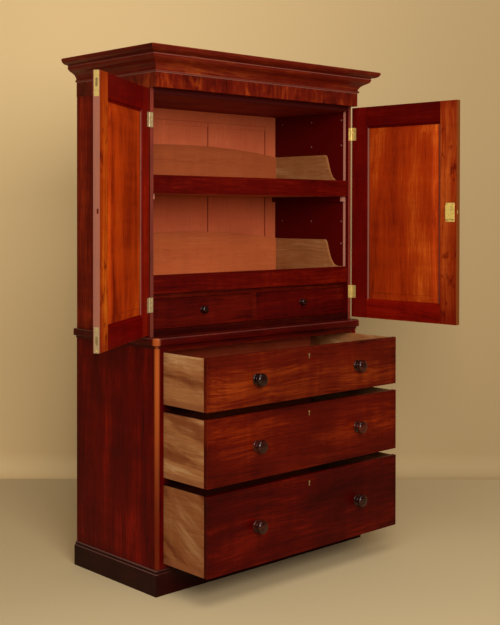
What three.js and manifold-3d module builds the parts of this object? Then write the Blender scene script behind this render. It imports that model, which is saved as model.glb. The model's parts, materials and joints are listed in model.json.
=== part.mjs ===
import * as THREE from "three";
import { mergeVertices } from "three/addons/utils/BufferGeometryUtils.js";
import Module from "manifold-3d";

// Mahogany linen press: a base with three long drawers, an upper cupboard with two panelled doors,
// two sliding trays and two small drawers, a moulded waist, a plinth and a mitred cornice.
// Millimetres. x runs to the right seen from the front, y to the back, z up.
// The origin lies on the floor under the middle of the plinth.

// Driving dimensions: the base
const baseWidth = 1141;
const baseDepth = 541;
const baseSideThickness = 20;
const cornerRadius = 20;
const cornerPostWidth = 34.5;
const cornerPostDepth = 46;
const baseBottomThickness = 20;
const baseTopRailHeight = 30;
const baseTopBoardThickness = 18;
const baseBackThickness = 10;
const backInset = 2;
const backRebateWidth = 10;

// Driving dimensions: the plinth
const plinthHeight = 97;
const plinthProjection = 12;
const plinthBoardThickness = 20;
const plinthFaceHeight = 80;
const plinthBeadRadius = 5;
const plinthFilletWidth = 1;
const plinthBearerWidth = 60;

// Driving dimensions: the long drawers, from the bottom up
const longDrawerHeights = [304, 254, 201];
const longDrawerPulls = [258, 257, 256];
const dividerThickness = 26;
const drawerSeatGap = 0.3;
const drawerHeadroom = 1.7;
const drawerSideGap = 1;
const drawerFrontThickness = 20;
const drawerBoardThickness = 12;
const drawerBottomThickness = 8;
const drawerBottomLift = 7;
const drawerSideDrop = 3;
const drawerBackDrop = 14;
const drawerBackGap = 12;
const drawerGuideHeight = 14;
const longKnobSpacing = 570;
const longKnobDiameter = 52;
const longKnobLength = 42;

// Driving dimensions: the waist moulding
const waistThickness = 24;
const waistProjection = 16;
const waistWidth = 48;
const waistNoseDrop = 6;
const waistNeckHeight = 10;
const waistNeckReach = 3.5;
const waistTopRadius = 7;
const waistNoseRadius = 5;

// Driving dimensions: the upper cupboard
const upperHeight = 960;
const upperSideInset = 1.5;
const upperFrontSetback = 42.5;
const upperSideThickness = 16;
const upperBottomThickness = 26;
const upperTopThickness = 21;
const upperBackThickness = 16;
const upperBackInset = 4;
const backStileWidth = 68;
const backMuntinWidth = 104;
const backRailWidth = 68;
const backPanelRecess = 4;
const backPanelCount = 3;
const shelfThickness = 22;
const partitionThickness = 22;
const trayRunnerHeight = 22;
const trayRunnerWidth = 20;
const traySetback = 1.5;
const smallKnobClearance = 2;

// Driving dimensions: the small drawers and the trays
const smallDrawerHeight = 116;
const smallDrawerFrontThickness = 18;
const smallDrawerBoardThickness = 9;
const smallKnobDiameter = 30;
const smallKnobLength = 25;
const smallKnobHeightShare = 0.55;
const trayBackGap = 8.5;
const traySideGap = 2;
const trayFrontHeight = 72;
const trayFrontThickness = 18;
const trayBoardThickness = 12;
const trayBottomThickness = 9;
const traySideHeight = 192;
const trayArchRise = 37;
const trayLowRun = 55;
const trayOgeeRun = 80;
const ogeeLowHandleShare = 0.75;
const ogeeHighHandleShare = 0.275;
const upperTrayLift = 366.2;

// Driving dimensions: the doors
const doorThickness = 23;
const doorGap = 1;
const doorBottomGap = 10;
const doorTopGap = 5;
const meetingGap = 1.6;
const hingeStileWidth = 96;
const meetingStileWidth = 94;
const doorTopRailWidth = 96;
const doorBottomRailWidth = 86;
const doorMouldWidth = 10;
const doorMouldStep = 1.5;
const doorFrontRecess = 8;
const panelThickness = 6.4;
const panelGrooveDepth = 8;
const panelBevelWidth = 30;
const panelBevelRise = 4;
const panelFieldStep = 1.5;
const leftDoorAngle = 144;
const rightDoorAngle = 92.6;

// Driving dimensions: the butt hinges
const hingeHeight = 57;
const caseLeafWidth = 18;
const doorLeafWidth = 27;
const hingeLeafThickness = 2;
const hingeKnuckleRadius = 4.5;
const hingePinRadius = 1.8;
const hingePinClearance = 0.35;
const hingePinReach = 3.5;
const hingeKnuckleCount = 5;
const hingeTopDrop = 90;

// Driving dimensions: the flush bolts and the lock
const boltPlateHeight = 88;
const boltPlateWidth = 18;
const brassPlateThickness = 2;
const boltSlotWidth = 8;
const boltSlotHeight = 30;
const boltSlotDrop = 26;
const boltThumbHeight = 14;
const boltRodWidth = 7.4;
const boltRodLength = 66;
const boltSocketDepth = 12;
const lockPlateWidth = 45;
const lockPlateHeight = 80;
const lockBoxHeight = 57;
const lockBoxProud = 4;
const lockEdgeInset = 10;
const lockHeight = 474;
const lockCaseMargin = 5;
const lockCaseDepth = 11;
const lockBoltHeight = 16;
const lockBoltThickness = 6;
const lockBoltLength = 40;
const lockSocketDepth = 11;

// Driving dimensions: the cornice
const friezeProud = 14;
const friezeSideProud = 1.5;
const friezeHeight = 59;
const friezeThickness = 42;
const corniceHeight = 93;
const corniceProjection = 74;
const corniceFasciaHeight = 12;
const corniceBackRailThickness = 20;
const corniceBackRailHeight = 130;

// Clearances and curve steps
const fitGap = 0.3;
const cutOverrun = 1;
const cornerSteps = 8;
const mouldSteps = 5;
const knobSegments = 24;
const smallKnobSegments = 20;
const knuckleSegments = 16;

// Places that follow from the driving dimensions
const plinthDepth = baseDepth + plinthProjection;
const backY = plinthDepth / 2;
const baseFrontY = backY - baseDepth;
const baseHalfWidth = baseWidth / 2;
const baseInnerHalfWidth = baseHalfWidth - baseSideThickness;
const drawerOpeningHalfWidth = baseHalfWidth - cornerPostWidth;
const longDrawerHalfWidth = drawerOpeningHalfWidth - drawerSideGap;
const baseBackFaceY = backY - backInset - baseBackThickness;
const drawerPitchGap = drawerSeatGap + drawerHeadroom;
const longDrawerTotal = longDrawerHeights.reduce((sum, height) => sum + height + drawerPitchGap, 0);
const baseInsideZ = plinthHeight + baseBottomThickness;
const topRailZ = baseInsideZ + longDrawerTotal + dividerThickness * (longDrawerHeights.length - 1);
const baseTopZ = topRailZ + baseTopRailHeight;
const waistTopZ = baseTopZ + waistThickness;

const upperCaseDepth = baseDepth - upperFrontSetback;
const upperHalfWidth = baseHalfWidth - upperSideInset;
const upperInnerHalfWidth = upperHalfWidth - upperSideThickness;
const upperFrontY = backY - upperCaseDepth;
const upperBackFaceY = backY - upperBackInset - upperBackThickness;
const upperTopZ = waistTopZ + upperHeight;
const upperFloorZ = waistTopZ + upperBottomThickness;
const smallDrawerTotal = smallDrawerHeight + drawerPitchGap;
const shelfZ = upperFloorZ + smallDrawerTotal;
const shelfTopZ = shelfZ + shelfThickness;
const trayFrontY = upperFrontY + traySetback;
const fittedFrontY = upperFrontY + smallKnobLength + smallKnobClearance;
const lowerTrayZ = shelfTopZ + drawerSeatGap;
const upperRunnerTopZ = shelfTopZ + trayRunnerHeight + upperTrayLift;
const upperTrayZ = upperRunnerTopZ + drawerSeatGap;
const trayHalfWidth = upperInnerHalfWidth - traySideGap;
const trayRearY = upperBackFaceY - trayBackGap;

const pinX = upperHalfWidth + hingePinReach;
const pinY = upperFrontY - doorGap / 2;
const doorZ = waistTopZ + doorBottomGap;
const doorHeight = upperHeight - doorBottomGap - doorTopGap;
const doorEdge = pinX - meetingGap / 2;
const doorBackY = -doorGap / 2;
const doorFrontY = doorBackY - doorThickness;
const openingLeft = hingePinReach + hingeStileWidth;
const openingRight = doorEdge - meetingStileWidth;
const openingTop = doorHeight - doorTopRailWidth;
const hingeBottoms = [doorBottomRailWidth, doorHeight - hingeTopDrop - hingeHeight];
const boltCentreY = (doorBackY + doorFrontY) / 2;
const boltChannelWidth = boltRodWidth + 2 * fitGap;
const boltCentreS = doorEdge - brassPlateThickness - fitGap - boltChannelWidth / 2;
const lockBoltY = doorBackY - brassPlateThickness - lockCaseDepth / 2;

const friezeDepth = upperCaseDepth + doorGap + doorThickness + friezeProud;
const friezeHalfWidth = upperHalfWidth + friezeSideProud;
const friezeFrontY = backY - friezeDepth;
const corniceTopZ = upperTopZ + friezeHeight + corniceHeight;

const wasm = await Module();
wasm.setup();

// Turns a geometry's faces outwards when its signed volume is negative.
function outward(geometry) {
  const solid = geometry.index ? geometry : mergeVertices(geometry);
  const place = solid.attributes.position;
  const index = solid.index.array;
  const a = new THREE.Vector3();
  const b = new THREE.Vector3();
  const c = new THREE.Vector3();
  let volume = 0;
  for (let i = 0; i < index.length; i += 3) {
    a.fromBufferAttribute(place, index[i]);
    b.fromBufferAttribute(place, index[i + 1]);
    c.fromBufferAttribute(place, index[i + 2]);
    volume += a.dot(b.cross(c));
  }
  if (volume < 0) {
    for (let i = 0; i < index.length; i += 3) {
      [index[i + 1], index[i + 2]] = [index[i + 2], index[i + 1]];
    }
  }
  return solid;
}

// Leaves only merged positions on a geometry, so that it is one closed surface.
function closed(geometry) {
  const bare = geometry.clone();
  bare.deleteAttribute("normal");
  bare.deleteAttribute("uv");
  return outward(mergeVertices(bare));
}

function solidOf(geometry) {
  const bare = closed(geometry);
  const mesh = new wasm.Mesh({
    numProp: 3,
    vertProperties: new Float32Array(bare.attributes.position.array),
    triVerts: new Uint32Array(bare.index.array),
  });
  return new wasm.Manifold(mesh);
}

function geometryOf(solid) {
  const mesh = solid.getMesh();
  const geometry = new THREE.BufferGeometry();
  geometry.setAttribute("position", new THREE.BufferAttribute(new Float32Array(mesh.vertProperties), 3));
  geometry.setIndex(new THREE.BufferAttribute(new Uint32Array(mesh.triVerts), 1));
  return geometry;
}

function joined(first, ...others) {
  return geometryOf(others.reduce((solid, other) => solid.add(solidOf(other)), solidOf(first)));
}

function cut(first, ...others) {
  return geometryOf(others.reduce((solid, other) => solid.subtract(solidOf(other)), solidOf(first)));
}

// A board given by its lowest and highest x, y and z.
function board(x0, x1, y0, y1, z0, z1) {
  const box = new THREE.BoxGeometry(x1 - x0, y1 - y0, z1 - z0);
  return box.translate((x0 + x1) / 2, (y0 + y1) / 2, (z0 + z1) / 2);
}

// Extrudes an outline drawn in x and y upwards from z0 to z1.
function planPrism(shape, z0, z1) {
  const options = { depth: z1 - z0, bevelEnabled: false, curveSegments: cornerSteps };
  return new THREE.ExtrudeGeometry(shape, options).translate(0, 0, z0);
}

// Extrudes an outline drawn in y and z across from x0 to x1.
function sidePrism(shape, x0, x1) {
  const options = { depth: x1 - x0, bevelEnabled: false, curveSegments: cornerSteps };
  const turn = new THREE.Matrix4().set(0, 0, 1, x0, 1, 0, 0, 0, 0, 1, 0, 0, 0, 0, 0, 1);
  return new THREE.ExtrudeGeometry(shape, options).applyMatrix4(turn);
}

// Extrudes an outline drawn in x and z from y1 forwards to y0.
function frontPrism(shape, y0, y1) {
  const options = { depth: y1 - y0, bevelEnabled: false, curveSegments: cornerSteps };
  const turn = new THREE.Matrix4().set(1, 0, 0, 0, 0, 0, -1, y1, 0, 1, 0, 0, 0, 0, 0, 1);
  return new THREE.ExtrudeGeometry(shape, options).applyMatrix4(turn);
}

// A round bar along z.
function upright(radius, x, y, z0, z1, segments) {
  const bar = new THREE.CylinderGeometry(radius, radius, z1 - z0, segments);
  return bar.rotateX(Math.PI / 2).translate(x, y, (z0 + z1) / 2);
}

function outline(points) {
  return new THREE.Shape(points.map(([u, v]) => new THREE.Vector2(u, v)));
}

function mirrored(geometry) {
  return geometry.clone().scale(-1, 1, 1);
}

// Skins a row of equal rings of points. The row is closed on itself, or is capped at its two ends
// with the triangles of the flat outline that the rings share.
function skin(rings, capOutline) {
  const count = rings[0].length;
  const positions = rings.flat().flatMap((point) => [point.x, point.y, point.z]);
  const index = [];
  const last = capOutline ? rings.length - 1 : rings.length;
  for (let ring = 0; ring < last; ring += 1) {
    const near = ring * count;
    const far = ((ring + 1) % rings.length) * count;
    for (let i = 0; i < count; i += 1) {
      const next = (i + 1) % count;
      index.push(near + i, near + next, far + next, near + i, far + next, far + i);
    }
  }
  if (capOutline) {
    const end = (rings.length - 1) * count;
    for (const [a, b, c] of THREE.ShapeUtils.triangulateShape(capOutline, [])) {
      index.push(a, c, b, end + a, end + b, end + c);
    }
  }
  const geometry = new THREE.BufferGeometry();
  geometry.setAttribute("position", new THREE.Float32BufferAttribute(positions, 3));
  geometry.setIndex(index);
  return outward(geometry);
}

// Points of a quarter-round between two corners of its square, bulging towards the third corner.
function quarter(from, to, corner, steps) {
  const points = [];
  for (let i = 1; i < steps; i += 1) {
    const angle = (i / steps) * (Math.PI / 2);
    const toward = 1 - Math.cos(angle);
    const along = 1 - Math.sin(angle);
    points.push(new THREE.Vector2(
      to.x + (corner.x - to.x) * (1 - toward) + (from.x - corner.x) * along,
      to.y + (corner.y - to.y) * (1 - toward) + (from.y - corner.y) * along,
    ));
  }
  return points;
}

const finishes = {
  mahogany: { color: 0x5a1d0e, roughness: 0.32, metalness: 0 },
  cedar: { color: 0x9a5a36, roughness: 0.6, metalness: 0 },
  pine: { color: 0xa5804f, roughness: 0.7, metalness: 0 },
  knob: { color: 0x2a0d07, roughness: 0.22, metalness: 0 },
  brass: { color: 0xc9a04a, roughness: 0.35, metalness: 0.9 },
};

const press = new THREE.Group();

function place(name, geometry, finish, parent = press) {
  const mesh = new THREE.Mesh(closed(geometry), new THREE.MeshStandardMaterial(finishes[finish]));
  mesh.name = name;
  parent.add(mesh);
  return mesh;
}

// Plinth: one moulded board mitred round the front and the two ends, with a double bead on top.
function plinthProfile() {
  const face = plinthProjection;
  const firstBead = plinthFaceHeight + plinthBeadRadius;
  const inner = plinthProjection - plinthBoardThickness;
  const step = face - plinthBeadRadius;
  const secondBead = plinthHeight - plinthBeadRadius;
  return [
    new THREE.Vector2(inner, 0),
    new THREE.Vector2(face, 0),
    new THREE.Vector2(face, plinthFaceHeight),
    ...quarter(
      new THREE.Vector2(face, plinthFaceHeight),
      new THREE.Vector2(step, firstBead),
      new THREE.Vector2(face, firstBead),
      mouldSteps,
    ),
    new THREE.Vector2(step, firstBead),
    new THREE.Vector2(step - plinthFilletWidth, secondBead),
    ...quarter(
      new THREE.Vector2(step - plinthFilletWidth, secondBead),
      new THREE.Vector2(plinthFilletWidth, plinthHeight),
      new THREE.Vector2(step - plinthFilletWidth, plinthHeight),
      mouldSteps,
    ),
    new THREE.Vector2(plinthFilletWidth, plinthHeight),
    new THREE.Vector2(inner, plinthHeight),
  ];
}

function plinthFrame() {
  const profile = plinthProfile();
  const left = (y) => profile.map((p) => new THREE.Vector3(-baseHalfWidth - p.x, y(p), p.y));
  const right = (y) => profile.map((p) => new THREE.Vector3(baseHalfWidth + p.x, y(p), p.y));
  const back = () => backY;
  const front = (p) => baseFrontY - p.x;
  return skin([left(back), left(front), right(front), right(back)], profile);
}

function plinthBackFrame() {
  const innerReach = plinthBoardThickness - plinthProjection;
  const railHalf = baseHalfWidth - innerReach;
  const railFaceY = backY - plinthBoardThickness;
  const rail = board(-railHalf, railHalf, railFaceY, backY, 0, plinthHeight);
  const half = plinthBearerWidth / 2;
  const bearer = board(-half, half, baseFrontY + innerReach, railFaceY + cutOverrun, 0, plinthHeight);
  return joined(rail, bearer);
}

place("plinth_frame", plinthFrame(), "mahogany");
place("plinth_back_frame", plinthBackFrame(), "pine");

// Base sides: boards whose front edge is thickened into a round-cornered post.
function baseSide() {
  const inner = baseInnerHalfWidth;
  const rebate = inner + backRebateWidth;
  const shape = new THREE.Shape();
  shape.moveTo(baseHalfWidth, backY);
  shape.lineTo(rebate, backY);
  shape.lineTo(rebate, baseBackFaceY);
  shape.lineTo(inner, baseBackFaceY);
  shape.lineTo(inner, baseFrontY + cornerPostDepth);
  shape.lineTo(drawerOpeningHalfWidth, baseFrontY + cornerPostDepth);
  shape.lineTo(drawerOpeningHalfWidth, baseFrontY);
  shape.lineTo(baseHalfWidth - cornerRadius, baseFrontY);
  shape.absarc(baseHalfWidth - cornerRadius, baseFrontY + cornerRadius, cornerRadius, -Math.PI / 2, 0, false);
  return planPrism(shape, plinthHeight, baseTopZ);
}

place("base_side_left", mirrored(baseSide()), "mahogany");
place("base_side_right", baseSide(), "mahogany");
place(
  "base_back",
  board(-baseInnerHalfWidth - backRebateWidth, baseInnerHalfWidth + backRebateWidth, baseBackFaceY,
    backY - backInset, plinthHeight, baseTopZ),
  "pine",
);

// A full-depth board of the base, notched round the two corner posts.
function notchedBoard(z0, z1) {
  const notchY = baseFrontY + cornerPostDepth;
  return planPrism(outline([
    [-drawerOpeningHalfWidth, baseFrontY],
    [drawerOpeningHalfWidth, baseFrontY],
    [drawerOpeningHalfWidth, notchY],
    [baseInnerHalfWidth, notchY],
    [baseInnerHalfWidth, baseBackFaceY],
    [-baseInnerHalfWidth, baseBackFaceY],
    [-baseInnerHalfWidth, notchY],
    [-drawerOpeningHalfWidth, notchY],
  ]), z0, z1);
}

// A board that carries a drawer, with a guide batten glued along each end.
function drawerBearer(z0, z1) {
  const guideX = longDrawerHalfWidth + drawerSideGap;
  const guideY = baseFrontY + cornerPostDepth;
  const guide = board(guideX, baseInnerHalfWidth, guideY, baseBackFaceY, z1 - cutOverrun, z1 + drawerGuideHeight);
  return joined(notchedBoard(z0, z1), guide, mirrored(guide));
}

function baseTop() {
  const rail = board(-drawerOpeningHalfWidth, drawerOpeningHalfWidth, baseFrontY,
    baseFrontY + cornerPostDepth, topRailZ, baseTopZ);
  return joined(notchedBoard(baseTopZ - baseTopBoardThickness, baseTopZ), rail);
}

place("base_bottom", drawerBearer(plinthHeight, baseInsideZ), "pine");
place("base_top", baseTop(), "mahogany");

// Turned knob with a broad base flange, a narrow neck and a rounded head.
// Its profile runs along the outward axis in shares of its radius and length.
const knobProfileShares = [
  [0, 0],
  [0.8, 0],
  [0.89, 0.06],
  [0.8, 0.135],
  [0.46, 0.21],
  [0.375, 0.33],
  [0.58, 0.44],
  [0.91, 0.56],
  [1, 0.71],
  [0.92, 0.85],
  [0.66, 0.955],
  [0.26, 0.996],
  [0, 1],
];

function knob(diameter, length, segments, x, y, z) {
  const points = knobProfileShares.map(
    ([radius, along]) => new THREE.Vector2((radius * diameter) / 2, along * length),
  );
  const turned = new THREE.LatheGeometry(points, segments);
  return turned.rotateX(Math.PI).translate(x, y, z);
}

// The open box behind a drawer front: two sides, a lower back and a raised bottom.
function drawerBox(halfWidth, y0, y1, z0, height, boardThickness) {
  const topZ = z0 + height - drawerSideDrop;
  const block = board(-halfWidth, halfWidth, y0, y1, z0, topZ);
  const innerHalf = halfWidth - boardThickness;
  const floorZ = z0 + drawerBottomLift + drawerBottomThickness;
  const inside = board(-innerHalf, innerHalf, y0 - cutOverrun, y1 - boardThickness, floorZ, topZ + cutOverrun);
  const under = board(-innerHalf, innerHalf, y0 - cutOverrun, y1 - boardThickness, z0 - cutOverrun,
    z0 + drawerBottomLift);
  const backTop = board(-innerHalf, innerHalf, y1 - boardThickness - cutOverrun, y1 + cutOverrun,
    topZ - drawerBackDrop, topZ + cutOverrun);
  return cut(block, inside, under, backTop);
}

const longDrawerNames = ["long_drawer_bottom", "long_drawer_middle", "long_drawer_top"];

function longDrawer(name, z0, height, pull) {
  const frontY = baseFrontY - pull;
  const boxY = frontY + drawerFrontThickness;
  const rearY = baseBackFaceY - drawerBackGap - pull;
  place(
    `${name}_front`,
    board(-longDrawerHalfWidth, longDrawerHalfWidth, frontY, boxY, z0, z0 + height),
    "mahogany",
  );
  place(
    `${name}_box`,
    drawerBox(longDrawerHalfWidth, boxY, rearY, z0, height, drawerBoardThickness),
    "pine",
  );
  for (const [side, sign] of [["left", -1], ["right", 1]]) {
    place(
      `${name}_knob_${side}`,
      knob(longKnobDiameter, longKnobLength, knobSegments, (sign * longKnobSpacing) / 2, frontY, z0 + height / 2),
      "knob",
    );
  }
}

let drawerZ = baseInsideZ;
const dividerNames = ["drawer_divider_lower", "drawer_divider_upper"];
longDrawerHeights.forEach((height, i) => {
  longDrawer(longDrawerNames[i], drawerZ + drawerSeatGap, height, longDrawerPulls[i]);
  drawerZ += height + drawerPitchGap;
  if (i < dividerNames.length) {
    place(dividerNames[i], drawerBearer(drawerZ, drawerZ + dividerThickness), "mahogany");
    drawerZ += dividerThickness;
  }
});

// Waist: a top board for the base with a rounded edge that follows the round corners, and a
// necking strip under it.
function waistProfile() {
  const nose = waistProjection;
  const noseZ = baseTopZ - waistNoseDrop;
  const neckZ = noseZ - waistNeckHeight;
  return [
    new THREE.Vector2(-waistWidth, baseTopZ),
    new THREE.Vector2(fitGap, baseTopZ),
    new THREE.Vector2(fitGap, neckZ),
    new THREE.Vector2(waistNeckReach, neckZ),
    new THREE.Vector2(waistNeckReach, noseZ),
    new THREE.Vector2(nose - waistNoseRadius, noseZ),
    ...quarter(
      new THREE.Vector2(nose - waistNoseRadius, noseZ),
      new THREE.Vector2(nose, noseZ + waistNoseRadius),
      new THREE.Vector2(nose, noseZ),
      mouldSteps,
    ),
    new THREE.Vector2(nose, noseZ + waistNoseRadius),
    new THREE.Vector2(nose, waistTopZ - waistTopRadius),
    ...quarter(
      new THREE.Vector2(nose, waistTopZ - waistTopRadius),
      new THREE.Vector2(nose - waistTopRadius, waistTopZ),
      new THREE.Vector2(nose, waistTopZ),
      mouldSteps,
    ),
    new THREE.Vector2(nose - waistTopRadius, waistTopZ),
    new THREE.Vector2(-waistWidth, waistTopZ),
  ];
}

// Inside the corner's centre the section keeps a square corner, outside it turns about that centre.
function waistRing(profile, sign, angle) {
  const centreX = baseHalfWidth - cornerRadius;
  const centreY = baseFrontY + cornerRadius;
  return profile.map((p) => {
    const radius = Math.max(cornerRadius + p.x, 0);
    const inward = Math.max(-p.x - cornerRadius, 0);
    const x = centreX - inward + radius * Math.cos(angle);
    const y = centreY + inward - radius * Math.sin(angle);
    return new THREE.Vector3(sign * x, y, p.y);
  });
}

function waistEdge() {
  const profile = waistProfile();
  const rings = [];
  const back = (sign) => profile.map((p) => new THREE.Vector3(sign * (baseHalfWidth + p.x), backY, p.y));
  rings.push(back(-1));
  for (let i = 0; i <= cornerSteps; i += 1) {
    rings.push(waistRing(profile, -1, (i / cornerSteps) * (Math.PI / 2)));
  }
  for (let i = cornerSteps; i >= 0; i -= 1) {
    rings.push(waistRing(profile, 1, (i / cornerSteps) * (Math.PI / 2)));
  }
  rings.push(back(1));
  return skin(rings, profile);
}

// The socket that a flush bolt enters when the left door is shut.
function boltSocket(z0, z1) {
  const x = boltCentreS - pinX;
  const y = pinY + boltCentreY;
  const half = boltChannelWidth / 2 + fitGap;
  return board(x - half, x + half, y - half, y + half, z0, z1);
}

function waistBoard() {
  const half = baseHalfWidth - waistWidth + cutOverrun;
  const frontY = baseFrontY + waistWidth - cutOverrun;
  const middle = board(-half, half, frontY, backY, baseTopZ, waistTopZ);
  return cut(joined(waistEdge(), middle), boltSocket(waistTopZ - boltSocketDepth, waistTopZ + cutOverrun));
}

place("waist_moulding", waistBoard(), "mahogany");

// Butt hinge halves, drawn for the left hand about a pin at x = 0, y = 0.
function knuckleSpan(i, z0) {
  const pitch = hingeHeight / hingeKnuckleCount;
  const low = i === 0 ? 0 : fitGap / 2;
  const high = i === hingeKnuckleCount - 1 ? 0 : fitGap / 2;
  return [z0 + i * pitch + low, z0 + (i + 1) * pitch - high];
}

function knuckles(z0, parity, radius, grow) {
  const bars = [];
  for (let i = parity; i < hingeKnuckleCount; i += 2) {
    const [low, high] = knuckleSpan(i, z0);
    bars.push(upright(radius, 0, 0, low - grow, high + grow, knuckleSegments));
  }
  return bars;
}

function caseLeaf(z0) {
  const leafY = doorGap / 2;
  const leaf = board(0, caseLeafWidth, leafY, leafY + hingeLeafThickness, z0, z0 + hingeHeight);
  const clear = knuckles(z0, 1, hingeKnuckleRadius + fitGap, fitGap / 2);
  const pin = upright(hingePinRadius, 0, 0, z0 + cutOverrun, z0 + hingeHeight - cutOverrun, knuckleSegments);
  const plate = cut(leaf, ...clear);
  return joined(plate, ...knuckles(z0, 0, hingeKnuckleRadius, 0), pin);
}

function doorLeaf(z0) {
  const leafY = -doorGap / 2;
  const leaf = board(0, doorLeafWidth, leafY - hingeLeafThickness, leafY, z0, z0 + hingeHeight);
  const clear = knuckles(z0, 0, hingeKnuckleRadius + fitGap, fitGap / 2);
  const bore = upright(hingePinRadius + hingePinClearance, 0, 0, z0 - cutOverrun, z0 + hingeHeight + cutOverrun,
    knuckleSegments);
  const body = joined(cut(leaf, ...clear), ...knuckles(z0, 1, hingeKnuckleRadius, 0));
  return cut(body, bore);
}

// The wood that a hinge takes away: a leaf's bed on one side of the joint and room for the knuckles.
function hingeBeds(leafWidth, y0, y1) {
  return hingeBottoms.flatMap((z0) => [
    board(-hingePinReach, leafWidth + fitGap, y0, y1, z0 - fitGap, z0 + hingeHeight + fitGap),
    upright(hingeKnuckleRadius + 2 * fitGap, 0, 0, z0 - fitGap, z0 + hingeHeight + fitGap, knuckleSegments),
  ]);
}

// Upper sides: boards rebated for the back, with a runner batten for the upper tray glued inside.
function upperSide() {
  const inner = -upperInnerHalfWidth;
  const rebate = inner - backRebateWidth;
  const outer = -upperHalfWidth;
  const side = planPrism(outline([
    [outer, upperFrontY],
    [inner, upperFrontY],
    [inner, upperBackFaceY],
    [rebate, upperBackFaceY],
    [rebate, backY],
    [outer, backY],
  ]), waistTopZ, upperTopZ);
  const runner = board(inner - cutOverrun, inner + trayRunnerWidth, trayFrontY + trayFrontThickness,
    upperBackFaceY, upperRunnerTopZ - trayRunnerHeight, upperRunnerTopZ);
  const beds = hingeBeds(caseLeafWidth, doorGap / 2 - cutOverrun, doorGap / 2 + hingeLeafThickness + fitGap)
    .map((bed) => bed.translate(-pinX, pinY, doorZ));
  return cut(joined(side, runner), ...beds);
}

place("upper_side_left", upperSide(), "mahogany");
place("upper_side_right", mirrored(upperSide()), "mahogany");
place(
  "upper_bottom",
  board(-upperInnerHalfWidth, upperInnerHalfWidth, upperFrontY, upperBackFaceY, waistTopZ, upperFloorZ),
  "mahogany",
);
place(
  "upper_top",
  board(-upperInnerHalfWidth, upperInnerHalfWidth, upperFrontY, upperBackFaceY, upperTopZ - upperTopThickness,
    upperTopZ),
  "mahogany",
);

// Framed back: stiles, muntins and rails with flat panels sunk on both faces.
function upperBack() {
  const half = upperInnerHalfWidth + backRebateWidth;
  const rearY = upperBackFaceY + upperBackThickness;
  const clearWidth = 2 * (upperInnerHalfWidth - backStileWidth) - (backPanelCount - 1) * backMuntinWidth;
  const panelWidth = clearWidth / backPanelCount;
  const panelBottom = upperFloorZ + backRailWidth;
  const panelTop = upperTopZ - upperTopThickness - backRailWidth;
  const sinkings = [];
  for (let i = 0; i < backPanelCount; i += 1) {
    const x = -upperInnerHalfWidth + backStileWidth + i * (panelWidth + backMuntinWidth);
    sinkings.push(
      board(x, x + panelWidth, upperBackFaceY - cutOverrun, upperBackFaceY + backPanelRecess, panelBottom, panelTop),
      board(x, x + panelWidth, rearY - backPanelRecess, rearY + cutOverrun, panelBottom, panelTop),
    );
  }
  return cut(board(-half, half, upperBackFaceY, rearY, waistTopZ, upperTopZ), ...sinkings);
}

place("upper_back", upperBack(), "cedar");

// Shelf over the small drawers with the upright that parts them.
function drawerShelf() {
  const shelf = board(-upperInnerHalfWidth, upperInnerHalfWidth, fittedFrontY, upperBackFaceY, shelfZ, shelfTopZ);
  const half = partitionThickness / 2;
  const partition = board(-half, half, fittedFrontY, upperBackFaceY, upperFloorZ, shelfZ + cutOverrun);
  return joined(shelf, partition);
}

place("drawer_shelf", drawerShelf(), "mahogany");

for (const [side, sign] of [["left", -1], ["right", 1]]) {
  const inner = partitionThickness / 2 + drawerSideGap;
  const outer = upperInnerHalfWidth - drawerSideGap;
  const half = (outer - inner) / 2;
  const centre = (sign * (outer + inner)) / 2;
  const z0 = upperFloorZ + drawerSeatGap;
  const boxY = fittedFrontY + smallDrawerFrontThickness;
  const rearY = upperBackFaceY - drawerBackGap;
  const knobZ = z0 + smallDrawerHeight * smallKnobHeightShare;
  place(
    `small_drawer_${side}_front`,
    board(centre - half, centre + half, fittedFrontY, boxY, z0, z0 + smallDrawerHeight),
    "mahogany",
  );
  place(
    `small_drawer_${side}_box`,
    drawerBox(half, boxY, rearY, z0, smallDrawerHeight, smallDrawerBoardThickness).translate(centre, 0, 0),
    "pine",
  );
  place(
    `small_drawer_${side}_knob`,
    knob(smallKnobDiameter, smallKnobLength, smallKnobSegments, centre, fittedFrontY, knobZ),
    "knob",
  );
}

// Tray sides fall in an ogee to the height of the low front.
function traySide(z0) {
  const boxY = trayFrontY + trayFrontThickness;
  const lowZ = z0 + trayFrontHeight;
  const highZ = z0 + traySideHeight;
  const lowY = trayFrontY + trayLowRun;
  const highY = lowY + trayOgeeRun;
  const shape = new THREE.Shape();
  shape.moveTo(boxY, z0);
  shape.lineTo(trayRearY, z0);
  shape.lineTo(trayRearY, highZ);
  shape.lineTo(highY, highZ);
  shape.bezierCurveTo(
    highY - trayOgeeRun * ogeeHighHandleShare,
    highZ,
    lowY + trayOgeeRun * ogeeLowHandleShare,
    lowZ,
    lowY,
    lowZ,
  );
  shape.lineTo(boxY, lowZ);
  return sidePrism(shape, -trayHalfWidth, -trayHalfWidth + trayBoardThickness);
}

function trayBack(z0) {
  const highZ = z0 + traySideHeight;
  const shape = new THREE.Shape();
  shape.moveTo(-trayHalfWidth, z0);
  shape.lineTo(trayHalfWidth, z0);
  shape.lineTo(trayHalfWidth, highZ);
  shape.quadraticCurveTo(0, highZ + 2 * trayArchRise, -trayHalfWidth, highZ);
  return frontPrism(shape, trayRearY - trayBoardThickness, trayRearY);
}

function tray(name, z0) {
  const boxY = trayFrontY + trayFrontThickness;
  const bottom = board(-trayHalfWidth, trayHalfWidth, boxY, trayRearY, z0, z0 + trayBottomThickness);
  place(
    `${name}_front`,
    board(-trayHalfWidth, trayHalfWidth, trayFrontY, boxY, z0, z0 + trayFrontHeight),
    "mahogany",
  );
  place(`${name}_body`, joined(bottom, traySide(z0), mirrored(traySide(z0)), trayBack(z0)), "cedar");
}

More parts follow.
